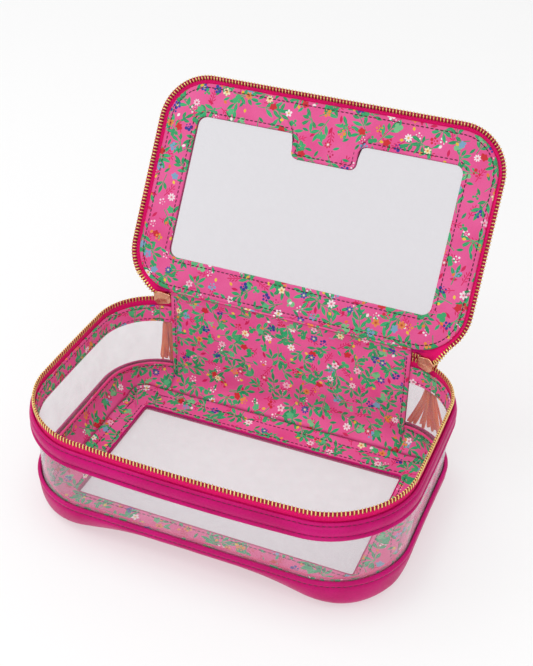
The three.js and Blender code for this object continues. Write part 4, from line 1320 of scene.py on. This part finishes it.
def lid_frame_piece(name, face, back, lip, look, slot, node, seed):
    """A framed sheet with turned edges. face is the height of its decorated side, and back of the other."""
    sign = math.copysign(1, face - back)
    rows = [lid_ring(0, back + sign * 0.1, 0.2, lip), lid_ring(0, face - sign * 0.45, 0.0, lip),
            lid_ring(0, face - sign * 0.1, 0.25, lip), lid_ring(0, face + sign * 0.1, 1.0, lip),
            lid_ring(0, face + sign * 0.1, 2.0, lip), lid_ring(0, face - sign * 0.12, 3.0, lip),
            lid_ring(0, face + sign * 0.1, 4.0, lip)]
    for share in (0.3, 0.5, 0.7):
        ring = lid_ring(share, face + sign * 0.15, 0, lip)
        rows.append([p + LID_NORMAL * 0.18 * ripple(p, 22, seed) for p in ring])
    rows += [lid_ring(1, face + sign * 0.1, 0, lip - 4.0), lid_ring(1, face - sign * 0.12, 0, lip - 3.0),
             lid_ring(1, face + sign * 0.1, 0, lip - 2.0), lid_ring(1, face + sign * 0.05, 0, lip - 0.9),
             lid_ring(1, face - sign * 0.15, 0, lip - 0.25), lid_ring(1, face - sign * 0.5, 0, lip),
             lid_ring(1, back + sign * 0.1, 0, lip - 0.2)]
    mesher = Mesher()
    mesher.grid(rows, list(range(len(LID_PAIRS) + 1)), list(range(len(rows) + 1)), True, True)
    sine, cosine = math.sin(LID_SLOPE), math.cos(LID_SLOPE)
    for face_points, corners in zip(mesher.faces, mesher.prints):
        new = []
        for i in face_points:
            p = mesher.points[i]
            new.append((p.x + 31.0, (p.y - HINGE_Y) * cosine + (p.z - HINGE_Z) * sine + 300.0))
        corners[:] = new
    mesher.piece(name, look, "lid", slot, node)


def loop_stitches(loop, shift, height, facing):
    spots = []
    for s in spread(0, loop.total, STITCH_PITCH)[:-1]:
        here, along = loop.offset(s, shift), loop.tangent(s)
        direction = (lid_point(along.x, along.y, 0) - lid_point(0, 0, 0)).normalized()
        spots.append((lid_point(here.x, here.y, height), direction, facing))
    return spots


def make_lid_sheets():
    lid_frame_piece("lid_lining_print", 0.0, -LINING, 0.0, "lid_floral_painted_shade", "floral_lining", "lid_lining", 3.0)
    face = LID_LEATHER_TOP - LEATHER
    lid_frame_piece("lid_outer_leather", face, LID_LEATHER_TOP, LID_LEATHER_LIP, "leather", "leather",
                    "lid_leather_frame", 9.0)
    spots = loop_stitches(LID_WINDOW, LID_SEAM, -0.02, LID_NORMAL)
    spots += loop_stitches(LID_LOOP, -LID_SEAM, -0.02, LID_NORMAL)
    stitch_row("lid_lining_stitches", spots, "lid")
    spots = loop_stitches(LID_WINDOW, LID_SEAM, face + 0.02, -LID_NORMAL)
    spots += loop_stitches(LID_LOOP, LID_LEATHER_LIP - LID_SEAM, face + 0.02, -LID_NORMAL)
    stitch_row("lid_leather_stitches", spots, "lid")


def make_pane(name, corner_low, corner_high, place, body, node, look, step=6.0):
    """A clear pane that waves slightly, between two corners of its own plane."""
    xs, ys = spread(corner_low[0], corner_high[0], step), spread(corner_low[1], corner_high[1], step)
    rows = []
    for side in (1, -1):
        sheet = []
        for y in ys:
            row = []
            for x in xs:
                edge = min(x - xs[0], xs[-1] - x, y - ys[0], ys[-1] - y)
                wave = 0.5 * min(edge / 12, 1.0) * perlin.noise(Vector((x / 55, y / 55, 4.0)))
                row.append(place(x, y, wave + side * 0.2))
            sheet.append(row)
        rows += sheet if side > 0 else sheet[::-1]
    mesher = Mesher()
    mesher.grid(rows, xs + [0], list(range(len(rows) + 1)), False, True, caps=True)
    mesher.piece(name, look, body, "clear_vinyl", node)


def lid_edge_frame(s, shift):
    here, along = LID_LOOP.offset(s, shift), LID_LOOP.tangent(s)
    origin = lid_point(0, 0, 0)
    direction = (lid_point(along.x, along.y, 0) - origin).normalized()
    out = (lid_point(along.y, -along.x, 0) - origin).normalized()
    return lid_point(here.x, here.y, 0), direction, out


# Sections of the lid's tape and of its cord, whose dark colour is painted shade between the teeth: outwards
# from the lid's edge, and towards its inner side.
TAPE_FLARE = [(-5.0, -1.9), (-1.5, -1.9), (0.6, -1.7), (2.2, -1.0), (3.2, 0.0)]
SHADE_CORD_FLARE = [(3.0, -0.3), (4.2, 0.9), (5.2, 1.9)]
# Where the lid's teeth stand, measured the same way.
TEETH_OUT = 4.6
TEETH_UP = 1.5


# The slider's mouth opens this many degrees past its middle; the corner tape has this many spans before it,
# and its root follows the lid's edge this far.
MOUTH_ANGLE = 8.5
MOUTH_STEPS = 14
CORNER_ROOT = 30.0


def lid_tape_end(sign):
    """The distance along LID_LOOP where the lid's tape leaves the lid near the hinge."""
    mark = LID_LOOP.marks[1] if sign < 0 else LID_LOOP.marks[2]
    return mark - 2.0 if sign < 0 else mark + 2.0


def lid_head(out):
    """The way a tooth of the lid points: outwards, and towards the lid's inner side."""
    return (out * 0.8 + LID_NORMAL * 0.6).normalized()


def make_lid_zip():
    start, end = lid_tape_end(1), lid_tape_end(-1) + LID_LOOP.total
    places = spread(start, end, 2.4)
    # The cord's dark colour is painted shade between the lid's teeth.
    for look, flare, thick, node in (("tape", TAPE_FLARE, 0.45, "lid_zip_tape"),
                                     ("shade_cord", SHADE_CORD_FLARE, 0.7, None)):
        rows = []
        outline = flare + [(out - 0.8 * thick, up + thick) for out, up in reversed(flare)]
        for shift, height in outline:
            rows.append([lid_edge_frame(s, shift)[0] + LID_NORMAL * height for s in places])
        mesher = Mesher()
        mesher.grid(rows, places + [end], section_lengths(outline), False, True, caps=True)
        mesher.piece(f"lid_{look}", look, "lid", "zip_tape", node)
    mesher = Mesher()
    for s in paced(start, end, TOOTH_PITCH, lambda s: lid_edge_frame(s, TEETH_OUT)[0]):
        here, along, out = lid_edge_frame(s, TEETH_OUT)
        head = lid_head(out)
        add_tooth(mesher, here + LID_NORMAL * TEETH_UP, along, along.cross(head), head)
    mesher.piece("lid_teeth", "teeth", "lid", "zip_teeth", "lid_zip_teeth")


def corner_curves(name, sign):
    """The toothed edge, the fold and the sewn root of the tape between the lid's corner and the spine."""
    top, angle = lid_tape_end(sign), slider_angle(name)
    here, along, _ = lid_edge_frame(top, TEETH_OUT)
    along = along * -sign
    spot, inward, _ = wall_frame(corner_s(sign, angle + MOUTH_ANGLE), CHAIN)
    inward = inward * sign
    start, mouth = here + LID_NORMAL * TEETH_UP, Vector((spot.x, spot.y, CHAIN + 2.2))
    reach = (start - mouth).length
    arrive = (inward * 0.85 - Vector((0, 0, 0.5))) * reach * 0.6
    edge = [hermite(start, along * reach * 0.7, mouth, arrive, k / MOUTH_STEPS) for k in range(MOUTH_STEPS)]
    climb = HINGE_Z - 2.0 - mouth.z
    for turn in spread(angle + MOUTH_ANGLE, -2.5, 4.0):
        spot, _, _ = wall_frame(corner_s(sign, turn), CHAIN)
        rise = smoothstep(angle + MOUTH_ANGLE - turn, 0.0, 7.0)
        edge.append(Vector((spot.x, spot.y, mouth.z + climb * rise)))
    lengths = running_lengths(edge)
    folds, roots = [], []
    for length, point in zip(lengths, edge):
        s = top - sign * CORNER_ROOT * length / lengths[-1]
        roots.append(lid_edge_frame(s, -1.5)[0] - LID_NORMAL * 1.9)
        fold = lid_edge_frame(s, 1.9)[0] - LID_NORMAL * 1.9
        folds.append(fold.lerp(point + Vector((0, 0, 2)), smoothstep(length, 0.0, lengths[MOUTH_STEPS])))
    return edge, folds, roots, lengths


def make_corner_tapes():
    """Where the lid's tape drops from its corner into the slider and on to the spine, on both sides."""
    start, end = to_world((0, HALF_DEPTH, HINGE_Z - 1.8)), to_world((0, HALF_DEPTH - 2.0, HINGE_Z + 1.5))
    head_foot = Vector((0, 0, -1))
    for name, sign in SIDES.items():
        edge, folds, roots, lengths = corner_curves(name, sign)
        # The cord's dark colour is painted shade between the corner's teeth.
        for look, half, shares in (("tape", 0.28, (0.14, 0.22, 0.3, 0.5, 0.7, 0.85, 1.0)),
                                   ("shade_cord", 0.4, (-0.03, 0.05, 0.16))):
            sheet = []
            for share in shares:
                row = []
                for e, fold, root in zip(edge, folds, roots):
                    row.append(e * (1 - share) ** 2 + fold * 2 * share * (1 - share) + root * share ** 2)
                sheet.append(row)
            mesher = Mesher()
            front, back = thickened(sheet, half)
            rows = front + back[::-1]
            mesher.grid(rows, lengths + [0], [1.6 * k for k in range(len(rows) + 1)], False, True, caps=True)
            tape = mesher.piece(f"corner_{look}_{name}", look, None, "zip_tape")
            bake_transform(tape)
            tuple(start)
            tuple(end)
        mesher = Mesher()
        _, _, out = lid_edge_frame(lid_tape_end(sign), TEETH_OUT)
        head_top = lid_head(out)
        mouth = lengths[MOUTH_STEPS]
        for d in spread(TOOTH_PITCH * 0.6, mouth - 0.4, TOOTH_PITCH):
            i = max(k for k in range(MOUTH_STEPS) if lengths[k] <= d)
            t = (d - lengths[i]) / (lengths[i + 1] - lengths[i])
            point = edge[i].lerp(edge[i + 1], t)
            tangent = (edge[i + 1] - edge[i]).normalized()
            head = head_top.lerp(head_foot, smoothstep(d, 0.0, mouth))
            head = (head - tangent * head.dot(tangent)).normalized()
            add_tooth(mesher, point, tangent, tangent.cross(head), head)
        teeth = mesher.piece(f"corner_teeth_{name}", "teeth", None, "zip_teeth")
        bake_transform(teeth)
        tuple(start)
        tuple(end)


def thickened(sheet, half):
    """A grid of points as two grids, half a thickness to each side of it."""
    front, back = [], []
    for j, row in enumerate(sheet):
        near, far = sheet[max(j - 1, 0)], sheet[min(j + 1, len(sheet) - 1)]
        front.append([])
        back.append([])
        for i, point in enumerate(row):
            along = row[min(i + 1, len(row) - 1)] - row[max(i - 1, 0)]
            normal = along.cross(far[i] - near[i]).normalized() * half
            front[-1].append(point + normal)
            back[-1].append(point - normal)
    return front, back


def hermite(a, leave, b, arrive, t):
    h00, h10 = 2 * t ** 3 - 3 * t * t + 1, t ** 3 - 2 * t * t + t
    h01, h11 = -2 * t ** 3 + 3 * t * t, t ** 3 - t * t
    return a * h00 + leave * h10 + b * h01 + arrive * h11


# ---------------------------------------------------------------- sliders, links and tassels

SLIDER_LENGTH = 12.6
SLIDER_HEIGHT = 11.0
SLIDER_CLEAR = 2.2
SLIDER_PLATE = 1.2
BRIDGE_OUT = 7.2
EYE_RADIUS = 2.0
EYE_WIRE = 0.48
CAP_TOP = -10.9
CAP_HEIGHT = 10.0
FRINGE_LENGTH = 44.0


class Station:
    """A slider's own frame: x along the rim away from the spine, y outwards, z up."""

    def __init__(self, name):
        self.name = name
        self.sign = SIDES[name]
        angle = math.radians(slider_angle(name))
        corner = Vector((self.sign * (HALF_LENGTH - REAR_RADIUS), HALF_DEPTH - REAR_RADIUS, CHAIN))
        self.out = Vector((self.sign * math.sin(angle), math.cos(angle), 0))
        self.along = Vector((self.sign * math.cos(angle), -math.sin(angle), 0))
        self.origin = corner + self.out * REAR_RADIUS

    def place(self, x, y, z):
        return self.origin + self.along * x + self.out * y + Vector((0, 0, z))

    def piece(self, mesher, name, look, body, slot, node=None, smooth=True):
        """Makes a piece on one of this side's bodies, in place of one of its nodes."""
        node = f"{node}_{self.name}" if node else None
        return mesher.piece(f"{name}_{self.name}", look, f"{body}_{self.name}", slot, node, smooth)


def bevelled(obj, width):
    bevel = obj.modifiers.new("Edge", "BEVEL")
    bevel.width = width * MM
    bevel.segments = 2
    bevel.limit_method = "ANGLE"
    bevel.angle_limit = math.radians(30)


def box_ring(station, x, near, far, z, half):
    """A rectangle across the slider at x, from near to far outwards and half to each side of z."""
    return [station.place(x, y, z + up) for y, up in ((near, -half), (near, half), (far, half), (far, -half))]


def make_slider(station):
    rear, nose, tall = -SLIDER_LENGTH / 2, SLIDER_LENGTH / 2, SLIDER_HEIGHT / 2
    lower = [(rear, 0.4), (rear + 0.4, 0.62), (rear + 1.6, 0.74), (nose * 0.3, 1.0), (nose * 0.55, 0.98),
             (nose - 0.3, 0.5), (nose, 0.25)]
    outline = [(x, -tall * share) for x, share in lower[1:]]
    outline += [(x, tall * share) for x, share in reversed(lower)]
    outline.append((rear, -tall * 0.4))
    mesher = Mesher()
    for side in (1, -1):
        near, far = SLIDER_CLEAR, SLIDER_CLEAR + SLIDER_PLATE
        rings = [[station.place(x * 0.97, side * near, z * 0.97) for x, z in outline],
                 [station.place(x, side * (near + 0.25), z) for x, z in outline],
                 [station.place(x, side * (far - 0.2), z) for x, z in outline],
                 [station.place(x * 0.95, side * far, z * 0.95) for x, z in outline]]
        ridge = [(max(min(x * 0.7, nose * 0.5), rear * 0.62), z * 0.06) for x, z in outline]
        rings.append([station.place(x, side * (far + 0.8), z) for x, z in ridge])
        mesher.tube(rings)
        # Lips that curl over the teeth along both long edges of the plate.
        lip_start, lip_end = rear + 1.8, nose * 0.3
        for up in (1, -1):
            rings = []
            for x in spread(lip_start, lip_end, 1.4):
                z = up * (tall * (0.74 + 0.26 * (x - lip_start) / (lip_end - lip_start)) - 0.5)
                rings.append(box_ring(station, x, side * (near - 0.9), side * (near + 0.3), z, 0.55))
            mesher.tube(rings)
    rings = []
    for x, half in ((nose - 2.0, 0.5), (nose - 1.2, 0.95), (nose - 0.5, 0.95), (nose - 0.1, 0.6)):
        rings.append(box_ring(station, x, -SLIDER_CLEAR - 0.3, SLIDER_CLEAR + 0.3, 1.1, half))
    mesher.tube(rings)
    body = station.piece(mesher, "slider_body", "rose", "slider", "rose_gold", "slider", smooth=False)
    bevelled(body, 0.16)

    # The bridge over the outer plate is a flat bar bent into an arch.
    arch = ((-4.2, 2.8), (-4.1, 5.4), (-3.4, 6.9), (-2.2, 7.3), (0, 7.35), (2.2, 7.3), (3.4, 6.9), (4.1, 5.4),
            (4.2, 2.8))
    path = smooth_path([Vector((x, y, 0)) for x, y in arch], 4)
    rings = []
    for i, p in enumerate(path):
        before, after = path[max(i - 1, 0)], path[min(i + 1, len(path) - 1)]
        along = (after - before).normalized()
        normal = Vector((-along.y, along.x, 0))
        ring = []
        for angle in turns(10):
            flat = p + normal * 0.6 * math.cos(angle)
            ring.append(station.place(flat.x, flat.y, 0.85 * math.sin(angle)))
        rings.append(ring)
    mesher = Mesher()
    mesher.tube(rings)
    station.piece(mesher, "slider_bridge", "rose", "slider", "rose_gold")


def ring_tube(mesher, station, centres, plane_normal, wire):
    """A closed ring of round wire through centres given in the station's frame."""
    rings = []
    count = len(centres)
    for i, centre in enumerate(centres):
        along = (centres[(i + 1) % count] - centres[i - 1]).normalized()
        outward = along.cross(plane_normal)
        ring = []
        for angle in turns(10):
            p = centre + outward * wire * math.cos(angle) + plane_normal * wire * math.sin(angle)
            ring.append(station.place(*p))
        rings.append(ring)
    rings.append(rings[0])
    mesher.tube(rings, caps=False)


def make_link(station):
    half, top, bottom, wire = 1.95, 1.75, -7.3, 0.48
    path = []
    for height, start in ((bottom + half, 180), (top - half, 0)):
        for k in range(13):
            angle = math.radians(start + 15 * k)
            path.append(Vector((0, BRIDGE_OUT + half * math.cos(angle), height + half * math.sin(angle))))
    mesher = Mesher()
    ring_tube(mesher, station, path, Vector((1, 0, 0)), wire)
    station.piece(mesher, "link", "rose", "pull", "rose_gold", "pull_link")
    lift = bottom + wire + EYE_WIRE + 0.25 - EYE_RADIUS
    path = []
    for angle in turns(28):
        path.append(Vector((EYE_RADIUS * math.cos(angle), BRIDGE_OUT, lift + EYE_RADIUS * math.sin(angle))))
    mesher = Mesher()
    ring_tube(mesher, station, path, Vector((0, 1, 0)), EYE_WIRE)
    station.piece(mesher, "eye", "rose", "tassel", "rose_gold", "tassel_eye")


def make_tassel(station, width, count):
    """A rolled leather cap with a spiral edge, and strips that hang from it."""
    rings = []
    profile = [(0.0, 1.4), (0.15, 2.2), (0.7, 2.7), (1.6, 2.75), (2.0, 2.6), (2.4, 2.8), (7.4, 3.1),
               (7.8, 2.9), (8.2, 3.15), (9.5, 3.25), (9.9, 3.1), (10.0, 2.6)]
    for down, radius in profile:
        ring = []
        for k, angle in enumerate(turns(28)):
            spiral = radius + 0.3 * (k / 28) ** 2
            ring.append(station.place(spiral * math.cos(angle), BRIDGE_OUT + spiral * math.sin(angle) * 0.95,
                                      CAP_TOP - down))
        rings.append(ring)
    mesher = Mesher()
    mesher.tube(rings)
    station.piece(mesher, "cap", "tassel", "tassel", "tassel_leather", "tassel_cap")

    chance = random.Random(5 if station.sign > 0 else 9)
    mesher = Mesher()
    top = CAP_TOP - CAP_HEIGHT + 0.8
    for i in range(count):
        angle = 2 * math.pi * (i + chance.uniform(-0.3, 0.3)) / count
        ring_radius = 2.3 if i % 2 else 1.3
        x0, y0 = ring_radius * math.cos(angle), ring_radius * math.sin(angle)
        chance.uniform(-1.0, 1.0)
        order = sorted(range(count), key=lambda n: math.cos(2 * math.pi * n / count))
        lean = width * (order.index(i) / (count - 1) - 0.5) * 1.9 + chance.uniform(-0.8, 0.8)
        depth = chance.uniform(-2.3, 2.2)
        length = FRINGE_LENGTH - 0.5 + chance.uniform(-3.0, 0.0)
        curl = chance.uniform(-1.4, 1.4)
        twist = chance.uniform(-0.5, 0.5)
        half = chance.uniform(1.0, 1.5)
        rings = []
        for k in range(15):
            t = k / 14
            sway = lean * t ** 1.35 + curl * math.sin(t * math.pi * 1.3) * t
            y = BRIDGE_OUT + y0 * (1 - t) + depth * t + 0.4 * math.sin(3 * t + i)
            x = x0 * (1 - t * 0.4) + sway
            turn = angle * (1 - t) + twist * t + (math.pi / 2 if i % 3 == 0 else 0.2) * t
            side = Vector((math.sin(turn), -math.cos(turn), 0)) if t < 0.15 else Vector(
                (math.cos(twist + 0.4 * t), math.sin(twist + 0.4 * t), 0))
            flat = side.cross(Vector((0, 0, 1)))
            centre = Vector((x, y, top - length * t))
            width_here = half * (1.0 if t < 0.97 else 0.8)
            ring = []
            for a, b in ((-1, -0.28), (0, -0.34), (1, -0.28), (1, 0.28), (0, 0.34), (-1, 0.28)):
                p = centre + side * a * width_here + flat * b
                ring.append(station.place(*p))
            rings.append(ring)
        mesher.tube(rings)
    station.piece(mesher, "fringe", "tassel", "tassel", "tassel_leather", "tassel_fringe")


# ---------------------------------------------------------------- stage, light and camera


def make_stage():
    bpy.ops.mesh.primitive_plane_add(size=12)
    floor = bpy.context.object
    floor.name = "stage_floor"
    net = Net("stage_floor")
    tone = net.noise(net.millimetres(), 0.001, 1)
    # The sheet glows evenly by its own emission, painted light which keeps the shadows on it pale and lights
    # the case from below as well.
    sheet = net.finish(net.mix(tone, rgb(180, 180, 180), rgb(184, 184, 184)), 0.85,
                       Emission_Color=(1, 1, 1, 1), Emission_Strength=0.46)
    floor.data.materials.append(sheet)

    world = bpy.data.worlds.new("studio")
    bpy.context.scene.world = world
    world.use_nodes = True
    back = world.node_tree.nodes["Background"]
    back.inputs[0].default_value = (1, 1, 1, 1)
    back.inputs[1].default_value = 0.7

    for name, place, size, power in (
            ("key", (-0.8, -0.3, 1.3), 1.1, 6.5),
            ("ceiling", (0.0, 0.4, 2.8), 5.0, 25.0),
            ("fill", (0.5, -1.5, 0.8), 1.2, 6.5)):
        lamp = bpy.data.lights.new(name, "AREA")
        lamp.shape = "SQUARE"
        lamp.size = size
        lamp.energy = power
        obj = bpy.data.objects.new(name, lamp)
        bpy.context.scene.collection.objects.link(obj)
        obj.location = place
        obj.rotation_mode = "QUATERNION"
        obj.rotation_quaternion = (Vector((0, 0, 0.06)) - Vector(place)).to_track_quat("-Z", "Y")


CAMERA_PLACE = (252.9, -584.1, 572.7)
CAMERA_YAW = 21.98
CAMERA_PITCH = 34.77
CAMERA_ROLL = 1.05
CAMERA_LENS = 65.98


def make_camera():
    yaw, pitch, roll = (math.radians(a) for a in (CAMERA_YAW, CAMERA_PITCH, CAMERA_ROLL))
    ahead = Vector((-math.sin(yaw) * math.cos(pitch), math.cos(yaw) * math.cos(pitch), -math.sin(pitch)))
    level = ahead.cross(Vector((0, 0, 1))).normalized()
    upright = level.cross(ahead)
    right = level * math.cos(roll) + upright * math.sin(roll)
    up = upright * math.cos(roll) - level * math.sin(roll)
    data = bpy.data.cameras.new("camera")
    data.lens = CAMERA_LENS
    data.clip_end = 50
    camera = bpy.data.objects.new("camera", data)
    bpy.context.scene.collection.objects.link(camera)
    turn = Matrix((right, up, -ahead)).transposed().to_4x4()
    camera.matrix_world = Matrix.Translation(to_world(CAMERA_PLACE)) @ turn
    bpy.context.scene.camera = camera
    bpy.context.scene.view_settings.view_transform = "Standard"


make_camera()
make_stage()
make_sole()
make_sole_edge()
make_floor()
make_side_lining()
make_clear_wall()
make_rim_band()
make_rim_zip()
make_closed_ends()
make_spine()
make_hinge()
make_lid_sheets()
make_pane("floor_pane", (-106, -57), (106, 57), lambda x, y, up: Vector((x, y, 2.1 + up * 0.5)), "case",
          "floor_window", "floor_pane")
make_pane("lid_pane", (-104, WINDOW_NEAR - 6), (104, WINDOW_FAR + 6),
          lambda x, v, up: lid_point(x, v, -1.7 + up * 0.5), "lid", "lid_window", "pane")
make_lid_zip()
make_corner_tapes()
for side_name, fringe_width, strips in (("left", 6.0, 11), ("right", 15.0, 12)):
    station = Station(side_name)
    make_slider(station)
    make_link(station)
    make_tassel(station, fringe_width, strips)
